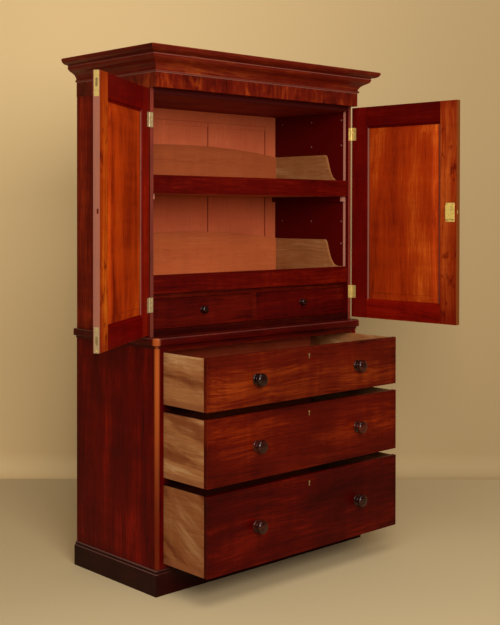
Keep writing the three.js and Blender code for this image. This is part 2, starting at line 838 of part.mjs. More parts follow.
tray("lower_tray", lowerTrayZ);
tray("upper_tray", upperTrayZ);

// Cornice: frieze boards that carry a crown moulding, mitred at the front corners.
// The crown's section gives each point as a share of the projection and of the moulding's height.
const crownShares = [
  [0, 0],
  [0.05, 0],
  [0.07, 0.02],
  [0.085, 0.055],
  [0.07, 0.09],
  [0.02, 0.115],
  [0.02, 0.14],
  [0.04, 0.19],
  [0.09, 0.26],
  [0.15, 0.315],
  [0.24, 0.37],
  [0.36, 0.425],
  [0.47, 0.47],
  [0.54, 0.52],
  [0.58, 0.58],
  [0.59, 0.64],
  [0.575, 0.69],
  [0.6, 0.715],
  [0.7, 0.725],
  [0.8, 0.745],
  [0.89, 0.785],
  [0.96, 0.84],
];

function corniceProfile() {
  const crownZ = upperTopZ + friezeHeight;
  const fasciaZ = corniceTopZ - corniceFasciaHeight;
  return [
    new THREE.Vector2(-friezeThickness, upperTopZ),
    new THREE.Vector2(0, upperTopZ),
    ...crownShares.map(
      ([out, up]) => new THREE.Vector2(out * corniceProjection, crownZ + up * corniceHeight),
    ),
    new THREE.Vector2(corniceProjection, fasciaZ),
    new THREE.Vector2(corniceProjection, corniceTopZ),
    new THREE.Vector2(-friezeThickness, corniceTopZ),
  ];
}

function corniceRing(x, y) {
  return corniceProfile().map((p) => new THREE.Vector3(x(p), y(p), p.y));
}

const corniceLeftX = (p) => -friezeHalfWidth - p.x;
const corniceRightX = (p) => friezeHalfWidth + p.x;
const corniceFrontY = (p) => friezeFrontY - p.x;
const corniceBackY = () => backY;

place(
  "cornice_front",
  cut(
    skin([corniceRing(corniceLeftX, corniceFrontY), corniceRing(corniceRightX, corniceFrontY)], corniceProfile()),
    boltSocket(upperTopZ - cutOverrun, upperTopZ + boltSocketDepth),
  ),
  "mahogany",
);
place(
  "cornice_left",
  skin([corniceRing(corniceLeftX, corniceBackY), corniceRing(corniceLeftX, corniceFrontY)], corniceProfile()),
  "mahogany",
);
place(
  "cornice_right",
  skin([corniceRing(corniceRightX, corniceBackY), corniceRing(corniceRightX, corniceFrontY)], corniceProfile()),
  "mahogany",
);
place(
  "cornice_back_rail",
  board(-friezeHalfWidth + friezeThickness, friezeHalfWidth - friezeThickness, backY - corniceBackRailThickness,
    backY, upperTopZ, upperTopZ + corniceBackRailHeight),
  "pine",
);

// Door frame, drawn for the left hand from the pin: rectangles of four corners that run from the
// outer edge over the front moulding, round the panel's groove and over the back moulding.
function doorFrame() {
  const grooveFront = doorFrontY + doorFrontRecess;
  const grooveBack = grooveFront + panelThickness + 2 * fitGap;
  const outer = (y) => corners(hingePinReach, doorEdge, 0, doorHeight, y);
  const inner = (grow, y) => corners(
    openingLeft - grow,
    openingRight + grow,
    doorBottomRailWidth - grow,
    openingTop + grow,
    y,
  );
  const ovolo = (faceY, sightY) => {
    const inwards = Math.sign(sightY - faceY);
    const depth = Math.abs(sightY - faceY) - 2 * doorMouldStep;
    const rings = [inner(doorMouldWidth, faceY)];
    for (let i = 0; i <= mouldSteps; i += 1) {
      const angle = (i / mouldSteps) * (Math.PI / 2);
      const reach = (doorMouldWidth - doorMouldStep) * Math.cos(angle);
      rings.push(inner(reach + doorMouldStep, faceY + inwards * (doorMouldStep + depth * Math.sin(angle))));
    }
    rings.push(inner(0, sightY - inwards * doorMouldStep));
    return rings;
  };
  return skin([
    outer(doorBackY),
    outer(doorFrontY),
    ...ovolo(doorFrontY, grooveFront),
    inner(0, grooveFront),
    inner(panelGrooveDepth, grooveFront),
    inner(panelGrooveDepth, grooveBack),
    inner(0, grooveBack),
    ...ovolo(doorBackY, grooveBack).reverse(),
  ]);
}

function corners(x0, x1, z0, z1, y) {
  return [
    new THREE.Vector3(x0, y, z0),
    new THREE.Vector3(x1, y, z0),
    new THREE.Vector3(x1, y, z1),
    new THREE.Vector3(x0, y, z1),
  ];
}

// Door panel: flat in front, fielded behind with a bevel and a small step round a flat field.
function doorPanel() {
  const reach = panelGrooveDepth - fitGap;
  const frontY = doorFrontY + doorFrontRecess + fitGap;
  const edgeY = frontY + panelThickness;
  const bevelY = edgeY + panelBevelRise;
  const edge = (inset, y) => corners(
    openingLeft + inset,
    openingRight - inset,
    doorBottomRailWidth + inset,
    openingTop - inset,
    y,
  );
  const rings = [
    edge(-reach, frontY),
    edge(-reach, edgeY),
    edge(0, edgeY),
    edge(panelBevelWidth, bevelY),
    edge(panelBevelWidth, bevelY + panelFieldStep),
  ];
  return skin(rings, rings[0].map((corner) => new THREE.Vector2(corner.x, corner.z)));
}

// Flush bolt in the door's meeting edge, drawn upwards from the plate's free end.
// A bolt for the bottom of the door is the same one turned over.
function turnedOver(geometry) {
  return geometry.clone().scale(1, 1, -1).translate(0, 0, doorHeight);
}

function boltSlotShape(width, height, centreZ) {
  const half = width / 2;
  const reach = height / 2 - half;
  const shape = new THREE.Shape();
  shape.absarc(boltCentreY, centreZ + reach, half, 0, Math.PI, false);
  shape.absarc(boltCentreY, centreZ - reach, half, Math.PI, 2 * Math.PI, false);
  return shape;
}

const boltSlotCentreZ = doorHeight - boltSlotDrop - boltSlotHeight / 2;
const boltTravel = boltSlotHeight - boltThumbHeight - 2 * fitGap;

function boltPlate() {
  const half = boltPlateWidth / 2;
  const plate = board(doorEdge - brassPlateThickness, doorEdge, boltCentreY - half, boltCentreY + half,
    doorHeight - boltPlateHeight, doorHeight);
  const slot = sidePrism(
    boltSlotShape(boltSlotWidth, boltSlotHeight, boltSlotCentreZ),
    doorEdge - brassPlateThickness - cutOverrun,
    doorEdge + cutOverrun,
  );
  return cut(plate, slot);
}

function boltSlide() {
  const half = boltRodWidth / 2;
  const rod = board(boltCentreS - half, boltCentreS + half, boltCentreY - half, boltCentreY + half,
    doorHeight - cutOverrun - boltRodLength, doorHeight - cutOverrun);
  const thumbZ = boltSlotCentreZ - boltTravel / 2;
  const thumb = sidePrism(
    boltSlotShape(boltSlotWidth - 2 * fitGap, boltThumbHeight, thumbZ),
    boltCentreS,
    doorEdge - fitGap,
  );
  return joined(rod, thumb);
}

// The bed of a plate and the channel of its slide, cut from the door's edge.
function boltBeds() {
  const plateHalf = boltPlateWidth / 2 + fitGap;
  const rodHalf = boltChannelWidth / 2;
  const bed = board(doorEdge - brassPlateThickness - fitGap, doorEdge + cutOverrun, boltCentreY - plateHalf,
    boltCentreY + plateHalf, doorHeight - boltPlateHeight - fitGap, doorHeight + cutOverrun);
  const channel = board(boltCentreS - rodHalf, doorEdge, boltCentreY - rodHalf, boltCentreY + rodHalf,
    doorHeight - cutOverrun - boltRodLength - fitGap, doorHeight + cutOverrun);
  return [bed, channel, turnedOver(bed), turnedOver(channel)];
}

// Cut lock in the right door: a case let into the stile with flanges above and below a box that
// stands proud, and a bolt that shoots from the door's edge. Drawn for the left hand and mirrored
// with the door.
const lockPlateRight = doorEdge - lockEdgeInset;
const lockPlateLeft = lockPlateRight - lockPlateWidth;

function lockBoltBoard(x0, x1, grow) {
  const halfY = lockBoltThickness / 2 + grow;
  const halfZ = lockBoltHeight / 2 + grow;
  return board(x0, x1, lockBoltY - halfY, lockBoltY + halfY, lockHeight - halfZ, lockHeight + halfZ);
}

function lockBody(grow) {
  const halfZ = lockPlateHeight / 2 + grow;
  const plateBackY = doorBackY - brassPlateThickness - grow;
  const plateFaceY = doorBackY + (grow > 0 ? cutOverrun : 0);
  const plate = board(lockPlateLeft - grow, lockPlateRight + grow, plateBackY, plateFaceY,
    lockHeight - halfZ, lockHeight + halfZ);
  const caseHalfZ = halfZ - lockCaseMargin;
  const lockCase = board(lockPlateLeft + lockCaseMargin - grow, lockPlateRight - lockCaseMargin + grow,
    plateBackY - lockCaseDepth, plateBackY + brassPlateThickness, lockHeight - caseHalfZ, lockHeight + caseHalfZ);
  return joined(plate, lockCase);
}

function lockCasing() {
  const channelStart = doorEdge - lockBoltLength - fitGap;
  const halfZ = lockBoxHeight / 2;
  const box = board(lockPlateLeft, lockPlateRight, doorBackY - brassPlateThickness, doorBackY + lockBoxProud,
    lockHeight - halfZ, lockHeight + halfZ);
  return cut(joined(lockBody(0), box), lockBoltBoard(channelStart, doorEdge, fitGap));
}

function lockBolt() {
  return lockBoltBoard(doorEdge - lockBoltLength, doorEdge - fitGap, 0);
}

function doorHingeBeds() {
  return hingeBeds(doorLeafWidth, -doorGap / 2 - hingeLeafThickness - fitGap, -doorGap / 2 + cutOverrun);
}

const leftDoor = new THREE.Group();
leftDoor.position.set(-pinX, pinY, doorZ);
leftDoor.rotation.z = -THREE.MathUtils.degToRad(leftDoorAngle);
press.add(leftDoor);

const rightDoor = new THREE.Group();
rightDoor.position.set(pinX, pinY, doorZ);
rightDoor.rotation.z = THREE.MathUtils.degToRad(rightDoorAngle);
press.add(rightDoor);

const boltKeep = lockBoltBoard(doorEdge - lockSocketDepth, doorEdge + cutOverrun, fitGap);
place("left_door_frame", cut(doorFrame(), ...doorHingeBeds(), ...boltBeds(), boltKeep), "mahogany", leftDoor);
place("left_door_panel", doorPanel(), "mahogany", leftDoor);
place("flush_bolt_plate_top", boltPlate(), "brass", leftDoor);
place("flush_bolt_slide_top", boltSlide(), "brass", leftDoor);
place("flush_bolt_plate_bottom", turnedOver(boltPlate()), "brass", leftDoor);
place("flush_bolt_slide_bottom", turnedOver(boltSlide()), "brass", leftDoor);

const lockWay = lockBoltBoard(doorEdge - lockBoltLength - fitGap, doorEdge + cutOverrun, fitGap);
place(
  "right_door_frame",
  mirrored(cut(doorFrame(), ...doorHingeBeds(), lockBody(fitGap), lockWay)),
  "mahogany",
  rightDoor,
);
place("right_door_panel", mirrored(doorPanel()), "mahogany", rightDoor);
place("lock_case", mirrored(lockCasing()), "brass", rightDoor);
place("lock_bolt", mirrored(lockBolt()), "brass", rightDoor);

// Hinges: the case leaf stays with the cupboard, the door leaf turns with the door.
const hingeHeights = ["lower", "upper"];
hingeBottoms.forEach((z0, i) => {
  const caseGeometry = caseLeaf(z0);
  place(`hinge_left_${hingeHeights[i]}_case_leaf`, caseGeometry.clone().translate(-pinX, pinY, doorZ), "brass");
  place(
    `hinge_right_${hingeHeights[i]}_case_leaf`,
    mirrored(caseGeometry).translate(pinX, pinY, doorZ),
    "brass",
  );
  place(`hinge_left_${hingeHeights[i]}_door_leaf`, doorLeaf(z0), "brass", leftDoor);
  place(`hinge_right_${hingeHeights[i]}_door_leaf`, mirrored(doorLeaf(z0)), "brass", rightDoor);
});

export default press;
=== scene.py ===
"""Mahogany linen press: its finishes, fittings and a plain studio stage, round the fixed solid parts."""

import json
import math

import bmesh
import bpy
from bpy.props import FloatProperty, FloatVectorProperty, IntProperty, PointerProperty
from bpy.types import Operator, Panel, PropertyGroup
from mathutils import Matrix, Vector


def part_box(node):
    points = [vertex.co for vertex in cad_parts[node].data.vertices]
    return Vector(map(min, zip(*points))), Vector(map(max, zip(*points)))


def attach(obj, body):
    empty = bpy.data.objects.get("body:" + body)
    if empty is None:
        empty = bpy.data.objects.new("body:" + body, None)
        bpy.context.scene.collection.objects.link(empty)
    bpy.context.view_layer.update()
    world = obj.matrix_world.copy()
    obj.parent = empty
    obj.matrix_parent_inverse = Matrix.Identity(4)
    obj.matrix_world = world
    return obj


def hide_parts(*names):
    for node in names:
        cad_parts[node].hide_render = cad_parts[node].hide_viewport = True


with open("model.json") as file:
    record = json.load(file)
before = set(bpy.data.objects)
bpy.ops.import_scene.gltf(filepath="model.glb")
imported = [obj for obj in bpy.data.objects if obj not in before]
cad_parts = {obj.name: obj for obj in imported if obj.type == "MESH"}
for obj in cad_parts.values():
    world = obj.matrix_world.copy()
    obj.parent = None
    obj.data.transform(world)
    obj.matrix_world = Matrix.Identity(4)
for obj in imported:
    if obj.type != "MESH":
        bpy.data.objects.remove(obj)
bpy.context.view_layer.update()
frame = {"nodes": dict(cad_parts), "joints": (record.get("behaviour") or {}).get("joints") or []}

bl_info = {
    "name": "Linen press",
    "version": (1, 0, 0),
    "blender": (4, 5, 0),
    "location": "3D View > Sidebar > Linen press",
    "description": "Polishes, fits out and lights a mahogany linen press",
    "category": "Object",
}


def srgb(red, green, blue):
    """A colour given in 0 to 255 steps, as linear light."""
    steps = [value / 255 for value in (red, green, blue)]
    return tuple(s / 12.92 if s <= 0.04045 else ((s + 0.055) / 1.055) ** 2.4 for s in steps)


def joint(name):
    """The press's joint of that name, as the record gives it."""
    return next(item for item in frame["joints"] if item["name"] == name)


def span(node, axis):
    """How long a node is along one axis."""
    low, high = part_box(node)
    return high[axis] - low[axis]


# The doors' own space: the foot of the pin and the angle at which the door stands
LEFT_ANGLE = math.radians(joint("left_door_hinge")["range_deg"][0])
RIGHT_ANGLE = -math.radians(joint("right_door_hinge")["range_deg"][0])
DOOR_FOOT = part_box("left_door_frame")[0].z
LEFT_PIN = Vector((*joint("left_door_hinge")["pos_m"][:2], DOOR_FOOT))
RIGHT_PIN = Vector((*joint("right_door_hinge")["pos_m"][:2], DOOR_FOOT))
LEFT_PLACE = Matrix.Translation(LEFT_PIN) @ Matrix.Rotation(LEFT_ANGLE, 4, "Z")
RIGHT_PLACE = Matrix.Translation(RIGHT_PIN) @ Matrix.Rotation(RIGHT_ANGLE, 4, "Z")
RIGHT_PLACE = RIGHT_PLACE @ Matrix.Scale(-1, 4, (1, 0, 0))

# Sizes of the solids that the finishes follow, in metres
BASE_SIDE = 0.02            # thickness of the base's sides
CORNER_RADIUS = 0.02        # of the base's rounded front corners
CUPBOARD_SIDE = 0.016       # thickness of the cupboard's sides
BACK_STILE = 0.068          # width of the outer frame of the panelled back
BACK_MUNTIN = 0.104         # width of the uprights between its panels
PANEL_REACH = 0.0077        # how far a door's panel goes into its groove
DOOR_MOULDING = 0.01        # width of the moulding round a door's panel
FRIEZE_HEIGHT = 0.059
FRIEZE_THICKNESS = 0.042
THICK_BOARD = 0.0125        # sides of the long drawers and the trays, with a little room
THIN_BOARD = 0.0095         # sides of the small drawers, with a little room
LEAF_FACE = 0.0005          # from a hinge's pin to the face of either leaf
SKIN = 0.00002              # how far a thin fitting sits over the face that carries it
SHARP_ANGLE = math.radians(35)


def colour(label, text, value):
    """A colour that a user may change."""
    return FloatVectorProperty(name=label, description=text, subtype="COLOR", size=3, min=0, max=1, default=value)


def length(label, text, value):
    """A length in metres that a user may change."""
    return FloatProperty(name=label, description=text, unit="LENGTH", min=0, default=value)


def share(label, text, value, most=1.0):
    """A plain number that a user may change."""
    return FloatProperty(name=label, description=text, subtype="FACTOR", min=0, max=most, default=value)


def power(label, text, value):
    """A lamp's power that a user may change."""
    return FloatProperty(name=label, description=text, unit="POWER", min=0, default=value)


def bearing(label, text, value):
    """An angle that a user may change."""
    return FloatProperty(name=label, description=text, unit="ROTATION", default=value)


class PressMahogany(PropertyGroup):
    """Polished mahogany of the outside, the fronts and the mouldings"""

    light: colour("Light grain", "Lightest streaks of the polished mahogany", srgb(138, 48, 12))
    middle: colour("Middle grain", "Main colour of the polished mahogany", srgb(86, 14, 4))
    dark: colour("Dark grain", "Darkest streaks of the polished mahogany", srgb(36, 2, 1))
    polish: share("Polish", "Roughness of the shellac polish", 0.34)
    gloss: share("Gloss", "Weight of the clear polish over the wood", 0.03)
    # This colour paints the highlight on the rounded corner posts and on the front corners of the waist moulding.
    worn: colour("Worn corner", "Orange of the rubbed corner posts", srgb(160, 76, 28))
    # This colour paints the highlight lines on the plinth's beads, along the waist moulding's top edge and on the
    # cornice.
    bead: colour("Bead", "Rubbed lines on the plinth, the waist moulding and the frieze", srgb(150, 104, 92))


class PressDoorWood(PropertyGroup):
    """Warm inner faces of the doors"""

    light: colour("Light grain", "Lightest streaks inside the doors", srgb(200, 92, 24))
    middle: colour("Middle grain", "Main colour inside the doors", srgb(148, 44, 6))
    dark: colour("Dark grain", "Darkest streaks inside the doors", srgb(88, 10, 2))
    rail: colour("Rails", "Tint of the rails, whose grain lies across", (0.36, 0.05, 0.2))
    free: colour("Free stile", "Tint of the stile at the meeting edge", (0.92, 1.0, 1.1))
    hinged: colour("Hinge stile", "Tint of the stile at the hinges", (0.46, 0.1, 0.35))
    # The lipping colour also paints the highlight lines along the mouldings round the door panels.
    lipping: colour("Lipping", "Faded edge where the doors meet", srgb(132, 84, 68))
    polish: share("Polish", "Roughness of the thin polish inside the doors", 0.42)
    gloss: share("Gloss", "Weight of the clear polish inside the doors", 0.02)


class PressLining(PropertyGroup):
    """Unpolished woods inside the cupboard and the drawers"""

    tray_light: colour("Light tray wood", "Lightest streaks of the trays and the back", srgb(240, 146, 92))
    tray_middle: colour("Middle tray wood", "Main colour of the trays and the back", srgb(220, 114, 68))
    tray_dark: colour("Dark tray wood", "Darkest streaks of the trays and the back", srgb(166, 72, 42))
    drawer_light: colour("Light drawer wood", "Lightest streaks of the drawer sides", srgb(202, 166, 116))
    drawer_middle: colour("Middle drawer wood", "Main colour of the drawer sides", srgb(152, 98, 56))
    drawer_dark: colour("Dark drawer wood", "Darkest streaks of the drawer sides", srgb(96, 46, 22))
    # The lipping colour also paints a highlight: on this strip and, faintly, on the front edge of the cupboard's
    # sides.
    lipping: colour("Lipping", "Pale strip near the front of the cupboard sides", srgb(180, 122, 102))
    dryness: share("Dryness", "Roughness of the unpolished wood", 0.62)


class PressMetal(PropertyGroup):
    """Old brass and the turned knobs"""

    brass: colour("Brass", "Bright brass where it is handled", srgb(196, 168, 96))
    tarnish: colour("Tarnish", "Dull brown film on the brass", srgb(128, 104, 62))
    worn: colour("Worn brass", "Grey brass of the left hinges and the lower flush bolt", srgb(152, 128, 92))
    knob: colour("Knob", "Nearly black polished wood of the knobs", srgb(34, 8, 5))
    knob_glow: colour("Knob glow", "Red that shows through worn knob polish", srgb(96, 28, 12))
    knob_polish: share("Knob polish", "Roughness of the knobs", 0.16)


class PressFittings(PropertyGroup):
    """Sizes of the small fittings"""

    screw_radius: length("Screw radius", "Radius of the brass screw heads", 0.0034)
    screw_proud: length("Screw proud", "How far a screw head stands out", 0.0003)
    escutcheon_height: length("Escutcheon height", "Height of a keyhole's brass lining", 0.019)
    escutcheon_drop: length("Escutcheon drop", "From a drawer's top edge down to its keyhole", 0.0255)
    peg_radius: length("Peg hole radius", "Radius of the peg holes inside the cupboard", 0.0035)
    knob_segments: IntProperty(name="Knob segments", description="Steps round a turned knob", min=12, default=56)


class PressStage(PropertyGroup):
    """Floor, backdrop, lights and camera"""

    floor: colour("Floor", "Plain pale floor", srgb(184, 163, 124))
    backdrop: colour("Backdrop", "Plain pale backdrop", srgb(192, 168, 124))
    key: power("Key light", "Power of the main soft light", 250)
    fill: power("Fill light", "Power of the second soft light", 100)
    sky: share("Sky", "Even light from all round", 0.42, 2.0)
    camera_place: FloatVectorProperty(
        name="Camera place", description="Where the camera stands", subtype="TRANSLATION", unit="LENGTH", size=3,
        default=(-3.1778, -3.6399, 1.4689),
    )
    camera_yaw: bearing("Camera yaw", "How far the camera looks to the right", 0.759)
    camera_pitch: bearing("Camera pitch", "How far the camera looks up", -0.015)
    camera_roll: bearing("Camera roll", "How far the camera leans", -0.002)
    camera_lens: FloatProperty(name="Lens", description="Focal length in millimetres", min=1, default=64.19)
    shift_x: FloatProperty(name="Shift across", description="Sideways shift of the picture", default=-0.0318)
    shift_y: FloatProperty(name="Shift up", description="Upward shift of the picture", default=-0.133)


# Shader nodes

def put(tree, socket, value):
    """Gives a socket a plain value or links it to another node's output."""
    if isinstance(value, bpy.types.NodeSocket):
        tree.links.new(value, socket)
    elif socket.type == "RGBA":
        socket.default_value = (*value[:3], 1)
    else:
        socket.default_value = value


def wire(tree, node, sockets):
    """Fills several sockets of a node."""
    for name, value in sockets.items():
        put(tree, node.inputs[name], value)


def add(tree, kind, sockets=None, **settings):
    """Adds one node with its settings and its sockets' values."""
    node = tree.nodes.new(kind)
    for name, value in settings.items():
        setattr(node, name, value)
    wire(tree, node, sockets or {})
    return node


def maths(tree, operation, first, second=0.0):
    """One calculation of two numbers."""
    return add(tree, "ShaderNodeMath", {0: first, 1: second}, operation=operation).outputs[0]


def product(tree, first, second):
    """One number times another."""
    return maths(tree, "MULTIPLY", first, second)


def distance(tree, first, second):
    """How far one number lies from another."""
    return maths(tree, "ABSOLUTE", maths(tree, "SUBTRACT", first, second))


def vector_maths(tree, operation, first, second):
    """One calculation of two vectors."""
    return add(tree, "ShaderNodeVectorMath", {0: first, 1: second}, operation=operation).outputs[0]


def axes(tree, vector):
    """A vector's three numbers: X across, Y deep and Z up."""
    return add(tree, "ShaderNodeSeparateXYZ", {0: vector}).outputs


def noise(tree, vector, **settings):
    """Soft noise from 0 to 1."""
    return add(tree, "ShaderNodeTexNoise", {"Vector": vector, **settings}).outputs["Fac"]


def stretched(tree, vector, scale, **settings):
    """Noise that is drawn out by a scale for each axis."""
    spread = add(tree, "ShaderNodeMapping", {"Vector": vector, "Scale": scale})
    return noise(tree, spread.outputs[0], **settings)


def between(tree, value, low, high, to_low=0.0, to_high=1.0):
    """Maps a value smoothly from one range to another."""
    node = add(tree, "ShaderNodeMapRange", {
        "Value": value, "From Min": low, "From Max": high, "To Min": to_low, "To Max": to_high,
    }, interpolation_type="SMOOTHSTEP")
    return node.outputs["Result"]


def within(tree, value, low, high, soft):
    """1 between two bounds and 0 outside them, with soft ends."""
    rise = between(tree, value, low - soft, low)
    return product(tree, rise, between(tree, value, high, high + soft, 1.0, 0.0))


def mixed(tree, factor, first, second, mode="MIX"):
    """Mixes two colours, each a plain value or another node's output."""
    node = add(tree, "ShaderNodeMix", data_type="RGBA", blend_type=mode)
    put(tree, node.inputs["Factor"], factor)
    for side, value in (("A", first), ("B", second)):
        put(tree, next(s for s in node.inputs if s.name == side and s.type == "RGBA"), value)
    return next(s for s in node.outputs if s.type == "RGBA")


def times(tree, shade, factor):
    """A colour dimmed or lifted by another, channel by channel."""
    return mixed(tree, 1.0, shade, factor, mode="MULTIPLY")


def relief(tree, height, strength, depth):
    """The normal of a fine relief."""
    sockets = {"Height": height, "Strength": strength, "Distance": depth}
    return add(tree, "ShaderNodeBump", sockets).outputs[0]


# Shader groups

def group(name, inputs, outputs):
    """Makes an empty shader node group and returns it with its input and output nodes."""
    tree = bpy.data.node_groups.new(name, "ShaderNodeTree")
    for label, kind, value in inputs:
        socket = tree.interface.new_socket(label, in_out="INPUT", socket_type=kind)
        if value is not None:
            socket.default_value = value
    for label, kind in outputs:
        tree.interface.new_socket(label, in_out="OUTPUT", socket_type=kind)
    return tree, tree.nodes.new("NodeGroupInput"), tree.nodes.new("NodeGroupOutput")


def grain_group():
    """Sawn wood with its grain along the first axis: broad figure, streaks, and short dark pores."""
    tree, given, result = group(
        "board_grain",
        [
            ("Vector", "NodeSocketVector", None),
            ("Light", "NodeSocketColor", (0.3, 0.1, 0.05, 1)),
            ("Middle", "NodeSocketColor", (0.15, 0.04, 0.02, 1)),
            ("Dark", "NodeSocketColor", (0.05, 0.01, 0.01, 1)),
            ("Figure", "NodeSocketFloat", 0.5),
            ("Streaks", "NodeSocketFloat", 0.5),
            ("Pores", "NodeSocketFloat", 0.5),
        ],
        [("Color", "NodeSocketColor"), ("Sheen", "NodeSocketFloat"), ("Height", "NodeSocketFloat")],
    )
    given = given.outputs
    sway = add(tree, "ShaderNodeTexNoise", {"Vector": given["Vector"], "Scale": 1.7, "Detail": 2.0})
    bend = vector_maths(tree, "SUBTRACT", sway.outputs["Color"], (0.5, 0.5, 0.5))
    small = vector_maths(tree, "MULTIPLY", bend, (0.0, 0.06, 0.06))
    swayed = vector_maths(tree, "ADD", given["Vector"], small)
    figure = stretched(tree, swayed, (1.0, 6.0, 6.0), Scale=1.4, Detail=2.0, Roughness=0.45, Distortion=0.5)
    streak = stretched(tree, swayed, (2.6, 95.0, 95.0), Scale=1.3, Detail=4.0, Roughness=0.6)
    hair = stretched(tree, swayed, (10.0, 560.0, 560.0), Scale=1.0, Detail=2.0)
    ribbon = stretched(tree, swayed, (22.0, 3.0, 3.0), Scale=1.0, Detail=2.0, Distortion=0.4)
    pore = stretched(tree, swayed, (70.0, 1100.0, 1100.0), Scale=1.0, Detail=1.0)
    pores = product(tree, between(tree, pore, 0.6, 0.72), given["Pores"])
    tone = 0.5
    for layer, weight in (
        (figure, product(tree, given["Figure"], 1.5)),
        (streak, product(tree, given["Streaks"], 1.4)),
        (hair, 0.55),
        (ribbon, 0.25),
    ):
        tone = maths(tree, "ADD", tone, product(tree, maths(tree, "SUBTRACT", layer, 0.5), weight))
    low = mixed(tree, between(tree, tone, 0.02, 0.5), given["Dark"], given["Middle"])
    shade = mixed(tree, between(tree, tone, 0.48, 1.0), low, given["Light"])
    wire(tree, result, {
        "Color": mixed(tree, product(tree, pores, 0.6), shade, given["Dark"]),
        "Sheen": between(tree, tone, 0.1, 0.9, 1.0, 0.0),
        "Height": maths(tree, "SUBTRACT", product(tree, hair, 0.4), pores),
    })
    return tree


def edge_group():
    """Nearness to the edges of a squared board, broken up by wear. wood() paints the narrow band lighter, as wear
    and painted highlight on the arrises, and the wide band darker, as old polish and painted shade.
    """
    tree, given, result = group(
        "rubbed_edges",
        [
            ("Vector", "NodeSocketVector", None),
            ("Low", "NodeSocketVector", None),
            ("High", "NodeSocketVector", None),
            ("Reach", "NodeSocketFloat", 0.003),
        ],
        [("Rubbed", "NodeSocketFloat"), ("Near", "NodeSocketFloat")],
    )
    vector, low, high, reach = (given.outputs[name] for name in ("Vector", "Low", "High", "Reach"))
    below = vector_maths(tree, "SUBTRACT", vector, low)
    above = vector_maths(tree, "SUBTRACT", high, vector)
    across, deep, tall = axes(tree, vector_maths(tree, "MINIMUM", below, above))
    least = maths(tree, "MINIMUM", across, deep)
    most = maths(tree, "MAXIMUM", across, deep)
    edge = maths(tree, "MAXIMUM", least, maths(tree, "MINIMUM", most, tall))
    broken = noise(tree, vector, Scale=38.0, Detail=3.0)
    worn = product(tree, reach, between(tree, broken, 0.35, 0.75, 0.2, 2.2))
    near = maths(tree, "DIVIDE", edge, maths(tree, "MAXIMUM", worn, 0.0001))
    wide = maths(tree, "DIVIDE", edge, product(tree, reach, 14.0))
    wire(tree, result, {
        "Rubbed": between(tree, near, 0.0, 1.0, 1.0, 0.0),
        "Near": between(tree, wide, 0.0, 1.0, 1.0, 0.0),
    })
    return tree


def handling_group():
    """Slow changes of tone over a large face, from light, hands and old polish."""
    tree, given, result = group(
        "old_polish",
        [
            ("Vector", "NodeSocketVector", None),
            ("Color", "NodeSocketColor", None),
            ("Strength", "NodeSocketFloat", 0.5),
        ],
        [("Color", "NodeSocketColor"), ("Haze", "NodeSocketFloat")],
    )
    vector, shade, strength = (given.outputs[name] for name in ("Vector", "Color", "Strength"))
    cloud = noise(tree, vector, Scale=2.6, Detail=4.0, Roughness=0.55)
    spots = noise(tree, vector, Scale=24.0, Detail=2.0)
    depth = product(tree, between(tree, cloud, 0.32, 0.7), strength)
    dimmed = times(tree, shade, (0.5, 0.34, 0.36))
    speck = product(tree, between(tree, spots, 0.66, 0.78), product(tree, strength, 0.6))
    wire(tree, result, {
        "Color": mixed(tree, speck, mixed(tree, depth, shade, dimmed), dimmed),
        "Haze": between(tree, cloud, 0.3, 0.75),
    })
    return tree


def frame_group():
    """Tells a framed leaf's rails from its stiles and finds the joint lines between them."""
    tree, given, result = group(
        "rails_and_stiles",
        [
            ("Vector", "NodeSocketVector", None),
            ("Left", "NodeSocketFloat", 0.1),
            ("Right", "NodeSocketFloat", 0.4),
        ],
        [("Rail", "NodeSocketFloat"), ("Joint", "NodeSocketFloat")],
    )
    left, right = given.outputs["Left"], given.outputs["Right"]
    across = axes(tree, given.outputs["Vector"])["X"]
    past_left = maths(tree, "GREATER_THAN", across, left)
    before_right = maths(tree, "LESS_THAN", across, right)
    nearest = maths(tree, "MINIMUM", distance(tree, across, left), distance(tree, across, right))
    wire(tree, result, {
        "Rail": product(tree, past_left, before_right),
        "Joint": between(tree, nearest, 0.0003, 0.0012, 1.0, 0.0),
    })
    return tree


def brass_group():
    """Old brass: bright where it is handled, brown elsewhere, with fine scratches."""
    tree, given, result = group(
        "aged_brass",
        [
            ("Vector", "NodeSocketVector", None),
            ("Bright", "NodeSocketColor", (0.8, 0.6, 0.2, 1)),
            ("Dull", "NodeSocketColor", (0.3, 0.2, 0.1, 1)),
        ],
        [("Color", "NodeSocketColor"), ("Rough", "NodeSocketFloat"), ("Height", "NodeSocketFloat")],
    )
    vector, bright, dull = (given.outputs[name] for name in ("Vector", "Bright", "Dull"))
    film = noise(tree, vector, Scale=85.0, Detail=4.0, Roughness=0.6)
    wire(tree, result, {
        "Color": mixed(tree, between(tree, film, 0.46, 0.8), bright, dull),
        "Rough": between(tree, film, 0.3, 0.75, 0.26, 0.55),
        "Height": stretched(tree, vector, (2600.0, 2600.0, 160.0), Scale=1.0, Detail=2.0),
    })
    return tree


GROUPS = {}


def shared_group(name):
    """Builds each shader group once."""
    makers = {
        "grain": grain_group,
        "edges": edge_group,
        "handling": handling_group,
        "frame": frame_group,
        "brass": brass_group,
    }
    if name not in GROUPS:
        GROUPS[name] = makers[name]()
    return GROUPS[name]


def use_group(tree, name, sockets):
    """Places a shader group in a material with its own values and returns its outputs."""
    return add(tree, "ShaderNodeGroup", sockets, node_tree=shared_group(name)).outputs


# Materials

def blank_material(name):
    """A new material, its node tree, its principled shader and the object's coordinates."""
    material = bpy.data.materials.new(name)
    material.use_nodes = True
    tree = material.node_tree
    return material, tree, tree.nodes["Principled BSDF"], add(tree, "ShaderNodeTexCoord").outputs["Object"]


TURNS = {
    "x": (0.0, 0.0, 0.0),
    "y": (0.0, 0.0, -math.pi / 2),
    "z": (0.0, math.pi / 2, 0.0),
}


